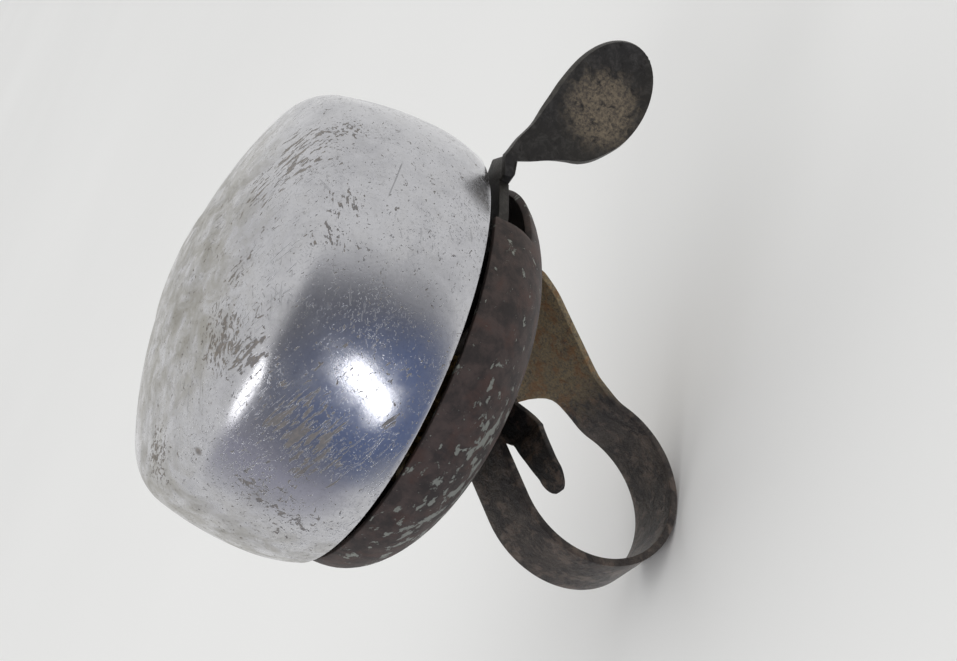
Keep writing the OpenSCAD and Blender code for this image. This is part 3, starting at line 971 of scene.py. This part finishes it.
STEEL = WorksMetal(
    "turned_steel", (0.42, 0.40, 0.37), (0.10, 0.075, 0.05), 0.28, 0.45, (6, 6, 0.5)
)
BRASS = WorksMetal(
    "gear_brass", (0.52, 0.38, 0.17), (0.13, 0.09, 0.05), 0.32, 0.5, (1, 1, 6)
)
SHEET = WorksMetal(
    "works_sheet", (0.30, 0.285, 0.265), (0.11, 0.075, 0.05), 0.4, 0.55, (8, 1, 1)
)
FIXING = WorksMetal(
    "rusted_fixing", (0.22, 0.195, 0.17), (0.10, 0.06, 0.036), 0.45, 0.75, (2, 2, 2)
)
RING = WorksMetal(
    "ring_steel", (0.48, 0.47, 0.45), (0.16, 0.12, 0.085), 0.3, 0.35, (3, 3, 1)
)
SPRING = WorksMetal(
    "spring_wire", (0.36, 0.35, 0.34), (0.09, 0.07, 0.05), 0.3, 0.4, (1, 1, 1)
)


# ---------------------------------------------------------------- pieces


def dress(
    piece: bpy.types.Object,
    material: bpy.types.Material,
    body: Body,
    stands_for: Iterable[str],
) -> None:
    """Gives a new piece its finish and ties it to the frame.

    Args:
        piece: The finished mesh.
        material: Its finish.
        body: The body that it rides on.
        stands_for: The CAD nodes that it replaces.
    """
    piece.data.materials.clear()
    piece.data.materials.append(material)
    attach(piece, body.value)
    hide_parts(*stands_for)
    log.info(
        "%s: %d faces on %s for %s",
        piece.name, len(piece.data.polygons), body.value, ", ".join(stands_for),
    )


@dataclass
class Gong:
    """The pressed dome: lip, belly, long side, shoulder and shallow crown."""

    mouth_z: float = 30.4
    mouth_r: float = 27.5
    belly_r: float = 28.5
    belly_h: float = 6.3
    height: float = 26.7
    wall: float = 1.0
    side_r: float = 41.6
    shoulder_r: float = 6.4
    crown_r: float = 60.0
    boss_r: float = 8.6
    boss_rise: float = 0.35
    sides: int = 144
    edge: Edge = Edge(0.22, 3, 50)

    def profile(self) -> Profile:
        """Radius and height of each ring, from the mouth to the crown.

        Returns:
            The profile in the row frame.
        """
        out = self.belly_r - self.mouth_r
        lip_r = (out**2 + self.belly_h**2) / (2 * out)
        lip = (self.belly_r - lip_r, self.belly_h)
        side = (self.belly_r - self.side_r, self.belly_h)
        crown = (0.0, self.height - self.crown_r)
        shoulder = meeting(
            side, self.side_r - self.shoulder_r, crown, self.crown_r - self.shoulder_r
        )
        side_a = math.degrees(math.atan2(shoulder[1] - side[1], shoulder[0] - side[0]))
        crown_a = math.degrees(math.atan2(shoulder[1] - crown[1], shoulder[0]))
        mouth_a = -math.degrees(math.asin(self.belly_h / lip_r))
        boss_a = math.degrees(math.acos(self.boss_r / self.crown_r))
        rings = arc(lip, lip_r, mouth_a, 0, 7)
        rings += arc(side, self.side_r, side_a / 10, side_a, 10)
        rings += arc(shoulder, self.shoulder_r, side_a + 5, crown_a, 12)
        rings += arc(crown, self.crown_r, crown_a + 1, boss_a - 0.7, 9)
        top = (0.0, crown[1] + self.boss_rise)
        rings += arc(top, self.crown_r, boss_a + 0.5, 89, 8)
        rings.append((0.0, top[1] + self.crown_r))
        return [(r, z + self.mouth_z) for r, z in rings]

    def build(self) -> bpy.types.Object:
        """Presses the dome from one sheet.

        Returns:
            The gong.
        """
        piece = Bench.spin_up("gong_shell", self.profile(), self.sides)
        Bench.thicken(piece, self.wall, -1, self.edge)
        Bench.smooth(piece, 40)
        dress(piece, WornPlating().coat(), Body.GONG, ["gong_dome"])
        return piece


@dataclass
class Pan:
    """The shallow pan under the gong, with a notch in its wall for the lever."""

    back_z: float = 16.6
    depth: float = 12.7
    radius: float = 26.6
    wall_h: float = 1.9
    flat_r: float = 9.0
    hole_r: float = 2.15
    sheet: float = 0.9
    notch_from: float = 14.0
    notch_to: float = 66.0
    notch_z: float = 23.7
    notch_room: float = 8.0
    wall_z: float = 20.0
    sides: int = 144
    edge: Edge = Edge(0.16, 2, 55)

    def profile(self) -> Profile:
        """Radius and height of each ring, from the rim to the screw's hole.

        Returns:
            The profile in the row frame.
        """
        corner = self.depth - self.wall_h
        wide = self.radius - self.flat_r
        rings = [(self.radius, self.depth), (self.radius, self.depth - 0.9)]
        for i in range(21):
            a = math.radians(90 * i / 20)
            rings.append((self.flat_r + wide * math.cos(a), corner * (1 - math.sin(a))))
        rings += [(6.0, 0.0), (4.0, 0.0), (self.hole_r, 0.0)]
        return [(r, z + self.back_z) for r, z in rings]

    def _turned(self, place: Vector) -> float:
        """Direction of a place about the gong's axis, in degrees."""
        return math.degrees(math.atan2(place.y - AXIS.y, place.x))

    def _cut_notch(self, piece: bpy.types.Object) -> None:
        """Bisects the wall at the notch's three edges and deletes what is between.

        Args:
            piece: The pan, one face thick.
        """
        Bench.take(piece)
        Bench.edit()
        for degrees in (self.notch_from, self.notch_to):
            Bench.pick(
                piece,
                lambda p, d=degrees: abs(self._turned(p) - d) < self.notch_room
                and p.z > self.wall_z,
                Pick.FACE,
            )
            a = math.radians(degrees)
            bpy.ops.mesh.bisect(
                plane_co=AXIS * MM, plane_no=(-math.sin(a), math.cos(a), 0)
            )
        low, high = self.notch_from - self.notch_room, self.notch_to + self.notch_room
        Bench.pick(
            piece,
            lambda p: low < self._turned(p) < high and p.z > self.wall_z,
            Pick.FACE,
        )
        bpy.ops.mesh.bisect(plane_co=(0, 0, self.notch_z * MM), plane_no=(0, 0, 1))
        Bench.pick(
            piece,
            lambda p: self.notch_from < self._turned(p) < self.notch_to
            and p.z > self.notch_z,
            Pick.FACE,
        )
        bpy.ops.mesh.delete(type="FACE")
        Bench.outwards()

    def build(self) -> bpy.types.Object:
        """Spins the pan and cuts its notch.

        Returns:
            The pan.
        """
        piece = Bench.spin_up("pan_shell", self.profile(), self.sides)
        self._cut_notch(piece)
        Bench.thicken(piece, self.sheet, -1, self.edge)
        Bench.smooth(piece, 40)
        dress(piece, FlakedEnamel().coat(), Body.MOUNT, ["base_pan"])
        return piece


@dataclass
class Strap:
    """One strip of steel: foot, fold, fishtail, loop round the bar and free end."""

    thickness: float = 1.0
    width: float = 8.4
    loop_mid: float = 11.65
    loop_start: float = -14.0
    loop_end: float = 126.0
    tail_r: float = 6.0
    slope: float = 54.6
    fold_r: float = 1.6
    foot_z: float = 16.1
    end_z: float = 15.1
    end_r: float = 3.0
    foot_r: float = 8.5
    tail_y: float = 12.2
    edge: Edge = Edge(0.2, 2, 50)

    near_edge = (
        (13.6, 4.2), (14.6, 4.3), (17.3, 5.8), (19.4, 7.0), (21.4, 8.1), (23.7, 8.5),
    )
    far_edge = (
        (12.2, 4.2), (13.2, 4.25), (14.3, 4.6), (15.0, 5.7), (15.7, 8.2),
        (16.3, 11.4), (16.75, 12.8), (23.8, 12.8),
    )

    def _foot(self, fold_y: float) -> list[tuple[float, float, float, float]]:
        """The foot under the pan, from its round end to the fold.

        Args:
            fold_y: Where the fold starts.

        Returns:
            Its steps.
        """
        steps = []
        for i in range(15):
            angle = math.radians(6 + 104 * i / 14)
            half = self.foot_r * math.sin(angle)
            steps.append((AXIS.y - self.foot_r * math.cos(angle), -half, half))
        steps += [(12.5, -12.8, 8.5), (fold_y, -12.8, 8.5)]
        return [(y, self.foot_z, low, high) for y, low, high in steps]

    def path(self) -> list[tuple[float, float, float, float]]:
        """The strip's middle line and edges, from the foot to the free end.

        Returns:
            Y, Z, lowest X and highest X of each step.
        """
        start = math.radians(self.loop_start)
        reach = self.loop_mid + self.tail_r
        bend = (reach * math.cos(start), reach * math.sin(start))
        a = math.radians(self.slope + 90)
        foot_of_tail = (
            bend[0] + self.tail_r * math.cos(a),
            bend[1] + self.tail_r * math.sin(a),
        )
        slope = math.radians(self.slope)
        fold_z = self.foot_z - self.fold_r
        rise = fold_z - self.fold_r * math.cos(slope) - foot_of_tail[1]
        run = rise / math.sin(slope)
        fold = (
            foot_of_tail[0] + run * math.cos(slope) - self.fold_r * math.sin(slope),
            fold_z,
        )
        line = arc(fold, self.fold_r, 90, self.slope - 90, 10)[1:]
        top = line[-1]
        line += [
            (
                top[0] + (foot_of_tail[0] - top[0]) * i / 26,
                top[1] + (foot_of_tail[1] - top[1]) * i / 26,
            )
            for i in range(1, 26)
        ]
        line += arc(bend, self.tail_r, 90 + self.slope, 180 + self.loop_start, 5)
        turn = 360 - self.loop_end + self.loop_start
        last = self.loop_start - turn
        line += arc((0, 0), self.loop_mid, self.loop_start, last, 84)[1:]
        edges = self.thickness / 2 * math.sin(slope)
        half = self.width / 2
        steps = []
        on_tail = True
        for y, z in line:
            on_tail = on_tail and y > self.tail_y
            near = along(self.near_edge, y + edges) if on_tail else half
            far = along(self.far_edge, y - edges) if on_tail else half
            steps.append((y, z, -far, near))
        steps += [(y, z, -half, half) for y, z in self._free_end()]
        return self._foot(fold[0]) + steps

    def _free_end(self) -> Profile:
        """The loop's other end, which rises and lies flat under the foot.

        Returns:
            Its middle line in Y and Z.
        """
        lean = math.radians(self.loop_end - 90)
        tip = arc((0, 0), self.loop_mid, self.loop_end, self.loop_end, 1)[0]
        centre_z = self.end_z - self.end_r
        run = (centre_z + self.end_r * math.cos(lean) - tip[1]) / math.sin(lean)
        centre_y = tip[0] + run * math.cos(lean) + self.end_r * math.sin(lean)
        bend = arc((centre_y, centre_z), self.end_r, self.loop_end, 90, 6)
        return bend + [(5.0, self.end_z), (8.0, self.end_z), (11.2, self.end_z)]

    def build(self) -> bpy.types.Object:
        """Bends the strap from one strip.

        Returns:
            The strap.
        """
        piece = Bench.strip("strap_bent", self.path(), 6)
        Bench.thicken(piece, self.thickness, 0, self.edge)
        Bench.smooth(piece, 35)
        dress(piece, STRAP.coat(), Body.MOUNT, ["clamp_strap"])
        return piece


@dataclass
class SteadyTab:
    """The tapered tab under the screw that curls down over the bar."""

    thickness: float = 0.9
    curl_r: float = 11.75
    flat_z: float = 14.15
    edge: Edge = Edge(0.18, 2, 50)

    right_edge = ((-6.7, 12.4), (-3.6, 11.6), (0.2, 9.7), (4.4, 6.4), (10.6, 3.6))
    left_edge = ((-6.7, 8.4), (-3.4, 6.2), (0.3, 2.6), (2.6, -3.6), (10.6, -3.6))
    tip: tuple[float, float, float] = (10.4, -6.7, 2.0)

    def path(self) -> list[tuple[float, float, float, float]]:
        """The tab's middle line and edges, from its end under the screw to its tip.

        Returns:
            Y, Z, lowest X and highest X of each step.
        """
        line = [(y, self.flat_z) for y in (10.6, 8.5, 6.5, 4.5, 3.4, 2.9)]
        line += [(2.4, 13.95), (1.4, 13.15), (0.5, 12.45)]
        line += arc((0, 0), self.curl_r, 92, 137.4, 26)
        steps = []
        x, y_tip, r = self.tip
        for y, z in line:
            if y > y_tip:
                low, high = along(self.left_edge, y), along(self.right_edge, y)
            else:
                half = math.sqrt(max(r * r - (y - y_tip) ** 2, 0.04))
                low, high = x - half, x + half
            steps.append((y, z, low, high))
        return steps

    def build(self) -> bpy.types.Object:
        """Bends the tab.

        Returns:
            The tab.
        """
        piece = Bench.strip("steady_tab_bent", self.path(), 4)
        Bench.thicken(piece, self.thickness, 0, self.edge)
        Bench.smooth(piece, 35)
        # The tab's finish paints shade into it, near black.
        dress(piece, TAB_IN_PAINTED_SHADE.coat(), Body.MOUNT, ["steady_tab"])
        return piece


@dataclass
class ThumbLever:
    """The lever: its toothed sheet from the frame, and a dished pad on its neck."""

    root: Point = (24.49, 22.50, 28.3)
    out: Point = (0.40, 0.6928, -0.60)
    up: Point = (0.30, 0.5196, 0.80)
    face: Point = (0.866, -0.5, 0.0)
    sheet: float = 1.02
    neck_sheet: float = 1.3
    dish: float = 0.75
    stem_low: float = 27.0
    stem_thick: float = 1.3
    knee_share: float = 0.16
    knee_low: tuple[float, float] = (-1.3, -0.8)
    knee_high: tuple[float, float] = (-1.5, 0.02)
    knee_back: float = -0.3
    root_slant: float = 0.75
    slant_end: float = 4.0
    neck_end: tuple[float, float] = (1.2, 4.2)
    dish_start: tuple[float, float] = (4.5, 10.0)
    bulb_start: tuple[float, float] = (10.0, 15.0)
    edge: Edge = Edge(0.28, 3, 55)
    bulb: tuple[float, float] = (14.6, 0.8)
    bulb_long: float = 8.21
    bulb_short: float = 5.55
    bulb_tilt: float = 21.5

    plate_end = (
        (22.71, 21.01), (24.27, 21.53), (24.3, 24.3), (19.2, 26.9), (17.70, 23.69),
    )
    lower_edge = (
        (0.0, 0.1), (0.75, -0.12), (2.8, -1.25), (4.8, -2.2), (6.6, -3.3), (8.0, -4.3),
        (9.8, -4.9), (12.2, -5.1), (14.8, -4.9), (17.1, -4.2), (19.1, -2.9),
        (21.0, -1.2), (22.0, 0.3), (22.5, 2.0),
    )
    upper_edge = (
        (0.0, 1.15), (0.8, 1.4), (2.3, 2.0), (5.1, 2.7), (7.2, 3.7), (9.0, 4.5),
        (10.9, 5.4), (12.8, 6.1), (14.8, 6.6), (16.9, 6.8), (18.8, 6.5),
        (20.2, 6.0), (21.4, 5.2), (22.2, 3.7), (22.5, 2.0),
    )

    def _place(self, u: float, v: float, w: float) -> Vector:
        """A place on the pad: u along it, v across it and w off its face."""
        return (
            Vector(self.root)
            + Vector(self.out) * u
            + Vector(self.up) * v
            + Vector(self.face) * w
        )

    def _edges(self, u: float) -> tuple[float, float]:
        """The pad's lower and upper edge.

        Args:
            u: How far along the pad.

        Returns:
            v of both edges: a drawn neck that runs into an oval bulb.
        """
        low, high = along(self.lower_edge, u), along(self.upper_edge, u)
        tilt = math.radians(self.bulb_tilt)
        c, s = math.cos(tilt), math.sin(tilt)
        a2, b2 = self.bulb_long**2, self.bulb_short**2
        d = u - self.bulb[0]
        p = s * s / a2 + c * c / b2
        q = d * c * s * (1 / a2 - 1 / b2)
        r = d * d * (c * c / a2 + s * s / b2) - 1
        root = math.sqrt(max(q * q - p * r, 0)) / p
        share = ease(u, *self.bulb_start)
        middle = self.bulb[1] - q / p
        return (
            low + (middle - root - low) * share, high + (middle + root - high) * share
        )

    def _knee(self, s: float, t: float) -> Vector:
        """A place on the knee, the short rise from the stem's edge to the pad.

        Args:
            s: 0 at the stem and 1 at the pad.
            t: 0 at the lower edge and 1 at the upper edge.

        Returns:
            The place.
        """
        ahead = Vector((self.up[0], self.up[1], 0)).normalized()
        face = Vector(self.face) * self.knee_back
        root = Vector(self.root) + face
        low = root + ahead * self.knee_low[0] + Vector((0, 0, self.knee_low[1]))
        high = root + ahead * self.knee_high[0] + Vector((0, 0, self.knee_high[1]))
        low = low.lerp(self._place(*self._slanted(0.0, 0.0), 0), s)
        high = high.lerp(self._place(*self._slanted(0.0, 1.0), 0), s)
        return low.lerp(high, t)

    def _slanted(self, u: float, t: float) -> tuple[float, float]:
        """u and v of a place on the pad, whose root is cut at a slant."""
        shift = self.root_slant * (1 - t) * max(0.0, 1 - u / self.slant_end)
        low, high = self._edges(u + shift)
        return u + shift, low + (high - low) * t

    def _pad(self) -> bpy.types.Object:
        """Cuts the pad's blank and presses its dish.

        Returns:
            The pad.
        """
        rows, columns = 68, 18
        Bench.clear()
        bpy.ops.mesh.primitive_grid_add(
            x_subdivisions=rows, y_subdivisions=columns, size=2
        )
        pad = Bench.name("pad_blank")
        length = self.upper_edge[-1][0]
        thick = pad.vertex_groups.new(name="thick")
        for vertex in pad.data.vertices:
            s, t = (vertex.co.x + 1) / 2, (vertex.co.y + 1) / 2
            if s < self.knee_share:
                vertex.co = self._knee(s / self.knee_share, t) * MM
                thick.add([vertex.index], 1.0, "REPLACE")
                continue
            s = (s - self.knee_share) / (1 - self.knee_share)
            u = min(length * math.sin(s * math.pi / 2), length - 0.004)
            u, v = self._slanted(u, t)
            bulb = ease(u, *self.dish_start)
            across = abs(2 * t - 1)
            end = max(0.0, (u - self.bulb[0]) / (length - self.bulb[0]))
            away = math.hypot(across * math.sqrt(max(0.0, 1 - end**4)), end**2.2)
            hollow = bulb * self.dish * (min(away, 1.0) ** 2.4 - 0.55)
            vertex.co = self._place(u, v, hollow) * MM
            thick.add([vertex.index], 1 - ramp(u, *self.neck_end), "REPLACE")
        Bench.take(pad)
        Bench.edit()
        Bench.outwards()
        Bench.thicken(
            pad,
            self.neck_sheet,
            0,
            self.edge,
            use_even_offset=False,
            vertex_group="thick",
            thickness_vertex_group=self.sheet / self.neck_sheet,
        )
        return pad

    def _cut(self) -> tuple[Vector, Vector]:
        """A point on the line where the stem's end starts, and the line's heading."""
        near, far = Vector((*self.plate_end[0], 0)), Vector((*self.plate_end[-1], 0))
        return near, (far - near).normalized()

    def _stem(self) -> bpy.types.Object:
        """Copies the lever's sheet from the frame, without its pad.

        Returns:
            The hub, toothed sector and inner stem.
        """
        Bench.take(frame["nodes"]["thumb_lever"])
        bpy.ops.object.duplicate()
        stem = Bench.name("lever_pressed")
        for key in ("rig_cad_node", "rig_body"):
            if key in stem:
                del stem[key]
        Bench.take(stem)
        Bench.edit()
        bpy.ops.mesh.remove_doubles(threshold=0.004 * MM)
        near, across = self._cut()
        bpy.ops.mesh.bisect(
            plane_co=near * MM,
            plane_no=(across.y, -across.x, 0),
            clear_outer=True,
            use_fill=True,
        )
        bpy.ops.object.mode_set(mode="OBJECT")
        return stem

    def _plate(self) -> bpy.types.Object:
        """Cuts the stem's wide end, which the pad is folded up from.

        Returns:
            The end of the stem.
        """
        Bench.clear()
        bpy.ops.mesh.primitive_circle_add(
            vertices=len(self.plate_end), fill_type="NGON", location=(0, 0, 0)
        )
        plate = Bench.name("stem_end")
        for vertex, (x, y) in zip(plate.data.vertices, self.plate_end):
            vertex.co = Vector((x, y, self.stem_low)) * MM
        Bench.edit()
        bpy.ops.mesh.extrude_region_move(
            TRANSFORM_OT_translate={"value": (0, 0, self.stem_thick * MM)}
        )
        bpy.ops.mesh.select_all(action="SELECT")
        bpy.ops.mesh.normals_make_consistent(inside=False)
        near, across = self._cut()
        beyond = Vector((across.y, -across.x, 0))
        beyond *= math.copysign(1, beyond.dot(Vector((1, 1, 0))))
        Bench.pick(plate, lambda p: (p - near).dot(beyond) > 0.4, Pick.EDGE)
        bpy.ops.mesh.bevel(offset=0.3 * MM, segments=3)
        bpy.ops.object.mode_set(mode="OBJECT")
        return plate

    def build(self) -> bpy.types.Object:
        """Joins the pad to the stem.

        Returns:
            The lever.
        """
        pad, plate, stem = self._pad(), self._plate(), self._stem()
        Bench.take(stem)
        pad.select_set(True)
        plate.select_set(True)
        bpy.ops.object.join()
        Bench.smooth(stem, 38)
        dress(stem, ThumbedSteel().coat(), Body.LEVER, ["thumb_lever"])
        return stem


@dataclass
class ReturnSpring:
    """The coil spring round the lever's pivot."""

    centre: tuple[float, float] = (16.990, 6.007)
    base_z: float = 22.7
    mean_r: float = 3.3
    wire_r: float = 0.3
    rise: float = 2.4
    turn: float = 1000.0
    first: float = 215.0
    leg: float = 2.4

    def _leg(
        self, piece: bpy.types.Object, degrees: float, height: float, side: int
    ) -> None:
        """Pulls the wire's end out into a straight leg.

        Args:
            piece: The spring, in edit mode.
            degrees: Direction of the wire's end about the pivot.
            height: The end's height.
            side: -1 for the first end and 1 for the last.
        """
        a = math.radians(degrees)
        end = Vector(
            (
                self.centre[0] + self.mean_r * math.cos(a),
                self.centre[1] + self.mean_r * math.sin(a),
                height,
            )
        )
        wire = self.wire_r * 1.2
        tangent = Vector((-math.sin(a), math.cos(a), 0)) * side
        Bench.pick(
            piece,
            lambda p: (p - end).length < wire and abs((p - end).dot(tangent)) < 0.08,
            Pick.VERT,
        )
        aim = Vector((math.cos(a + side * 1.1), math.sin(a + side * 1.1), 0))
        for _ in range(3):
            bpy.ops.mesh.extrude_region_move(
                TRANSFORM_OT_translate={"value": aim * self.leg / 3 * MM}
            )
        bpy.ops.mesh.edge_face_add()

    def build(self) -> bpy.types.Object:
        """Winds the spring from a ring of wire.

        Returns:
            The spring.
        """
        Bench.clear()
        hub = Vector((*self.centre, self.base_z))
        a = math.radians(self.first)
        start = hub + Vector((math.cos(a), math.sin(a), 0)) * self.mean_r
        bpy.ops.mesh.primitive_circle_add(
            vertices=10, radius=self.wire_r * MM, fill_type="NOTHING",
            location=start * MM, rotation=(math.pi / 2, 0, a),
        )
        piece = Bench.name("return_spring_wound")
        Bench.settle(piece)
        bpy.context.scene.cursor.location = hub * MM
        bpy.ops.object.origin_set(type="ORIGIN_CURSOR")
        Bench.finish(
            piece, "SCREW", angle=math.radians(self.turn), screw_offset=self.rise * MM,
            steps=100, render_steps=100, axis="Z", use_merge_vertices=False,
        )
        Bench.settle(piece)
        bpy.context.scene.cursor.location = (0, 0, 0)
        Bench.edit()
        self._leg(piece, self.first, self.base_z, -1)
        self._leg(piece, self.first + self.turn, self.base_z + self.rise, 1)
        Bench.outwards()
        Bench.smooth(piece, 50)
        dress(piece, SPRING.coat(), Body.MOUNT, ["return_spring"])
        return piece


@dataclass
class Works:
    """The nodes of the frame whose shape is right and that only need a finish."""

    finishes = (
        (
            STEEL,
            (
                "centre_post",
                "post_sleeve",
                "lever_pivot",
                "idler_axle",
                "striker_pins",
                "spring_pin",
                "dome_bush",
            ),
        ),
        (BRASS, ("idler_gear", "idler_pinion", "striker_pinion", "thrust_washer")),
        (SHEET, ("movement_plate", "striker_arm", "plate_pillars")),
        (FIXING, ("centre_screw", "lock_washer", "foot_rivets", "idler_clip")),
        (RING, ("striker_ring_a", "striker_ring_b")),
    )

    def build(self) -> None:
        """Gives each node its finish."""
        for finish, nodes in self.finishes:
            material = finish.coat()
            for node in nodes:
                obj = frame["nodes"][node]
                obj.data.materials.clear()
                obj.data.materials.append(material)
                log.info("%s: %s", node, finish.title)


# ---------------------------------------------------------------- studio


@dataclass
class Studio:
    """Camera, pale floor and soft light."""

    place: Point = (190.79, -130.62, 100.15)
    right: Point = (0.4854, 0.1463, -0.8619)
    above: Point = (0.4504, 0.8031, 0.3900)
    behind: Point = (0.7493, -0.5776, 0.3239)
    lens: float = 74.13
    floor_z: float = -12.3
    pale: Colour = (0.93, 0.93, 0.925)
    dusky = (
        ((-12.0, 2.0), 6.0, 44.0, (0.42, 0.42, 0.50)),
        ((40.0, -8.0), 30.0, 66.0, (0.19, 0.195, 0.225)),
        ((30.0, -28.0), 14.0, 50.0, (0.15, 0.20, 0.36)),
    )
    target: Point = (5.0, 6.0, 35.0)
    boxes = (
        ((6.0, 36.0), 27.0, 17.0, 4.0, 0.0),
        ((37.0, -15.0), 27.0, 5.5, 11.0, 57.0),
    )

    @staticmethod
    def heading(azimuth: float, elevation: float) -> Vector:
        """The direction of an azimuth and an elevation.

        Args:
            azimuth: 0 is -Y and 90 is +X.
            elevation: Degrees above the horizon.

        Returns:
            A unit vector from the bell.
        """
        a, e = math.radians(azimuth), math.radians(elevation)
        return Vector(
            (math.sin(a) * math.cos(e), -math.cos(a) * math.cos(e), math.sin(e))
        )

    def camera(self) -> None:
        """Sets the camera up."""
        data = bpy.data.cameras.new("camera")
        data.lens, data.sensor_width = self.lens, 36.0
        data.clip_start, data.clip_end = 0.01, 20.0
        cam = bpy.data.objects.new("camera", data)
        bpy.context.scene.collection.objects.link(cam)
        turn = Matrix((self.right, self.above, self.behind)).transposed()
        cam.matrix_world = Matrix.Translation(Vector(self.place) * MM) @ turn.to_4x4()
        bpy.context.scene.camera = cam

    def floor(self) -> None:
        """Lays the floor, pale and faintly uneven."""
        Bench.clear()
        bpy.ops.mesh.primitive_plane_add(size=8.0, location=(0, 0, self.floor_z * MM))
        floor = Bench.name("floor")
        Bench.settle(floor)
        c = Coat("pale_floor")
        cloud = c.noise(0.004, 3, 0.5)
        colour = c.blend(cloud, (0.80, 0.80, 0.79), (0.88, 0.88, 0.87))
        top = c.node(
            "BsdfPrincipled",
            {},
            {"Base Color": colour, "Roughness": 0.7, "Specular IOR Level": 0.2},
        )
        under = c.node("NewGeometry", output="Backfacing")
        clear = c.node("BsdfTransparent")
        c.end(c.node("MixShader", {}, {0: under, 1: top, 2: clear}))
        floor.data.materials.append(c.material)
        floor.visible_glossy = False
        floor.visible_shadow = False
        floor.visible_diffuse = False

    def world(self) -> None:
        """Surrounds the bell with pale light that is dusky on one side."""
        world = bpy.data.worlds.new("studio")
        bpy.context.scene.world = world
        world.use_nodes = True
        tree = Tree(world.node_tree)
        place = tree.node("TexCoord", output="Generated")
        colour: Line | Colour = self.pale
        for centre, inner, outer, tone in self.dusky:
            side = tree.node(
                "VectorMath",
                {"operation": "DOT_PRODUCT"},
                {0: place, 1: self.heading(*centre)},
                "Value",
            )
            edges = [math.cos(math.radians(edge)) for edge in (outer, inner)]
            fade = tree.node(
                "MapRange",
                {"interpolation_type": "SMOOTHSTEP"},
                {"Value": side, 1: edges[0], 2: edges[1]},
            )
            colour = tree.blend(fade, colour, tone)
        tree.end(tree.node("Background", {}, {"Color": colour}), "World")

    def lights(self) -> None:
        """Hangs the soft boxes."""
        distance = 1.0
        for i, (where, long, wide, radiance, roll) in enumerate(self.boxes):
            data = bpy.data.lights.new(f"soft_box_{i}", "AREA")
            data.shape = "RECTANGLE"
            data.size = 2 * distance * math.tan(math.radians(long / 2))
            data.size_y = 2 * distance * math.tan(math.radians(wide / 2))
            data.energy = radiance * math.pi * data.size * data.size_y
            lamp = bpy.data.objects.new(data.name, data)
            bpy.context.scene.collection.objects.link(lamp)
            back = self.heading(*where)
            turn = back.to_track_quat("Z", "Y").to_matrix().to_4x4()
            roll_about = Matrix.Rotation(math.radians(roll), 4, "Z")
            spot = Matrix.Translation(Vector(self.target) * MM + back * distance)
            lamp.matrix_world = spot @ turn @ roll_about

    def build(self) -> None:
        """Sets up the camera, the floor, the world and the lights."""
        self.camera()
        self.floor()
        self.world()
        self.lights()
        bpy.context.scene.view_settings.view_transform = "Standard"


def main() -> None:
    """Builds the bell and its studio."""
    logging.basicConfig(level=logging.INFO, format="%(name)s: %(message)s")
    Studio().build()
    for part in (Gong(), Pan(), Strap(), SteadyTab(), ThumbLever(), ReturnSpring()):
        part.build()
    Works().build()


if __name__ == "__main__":
    main()
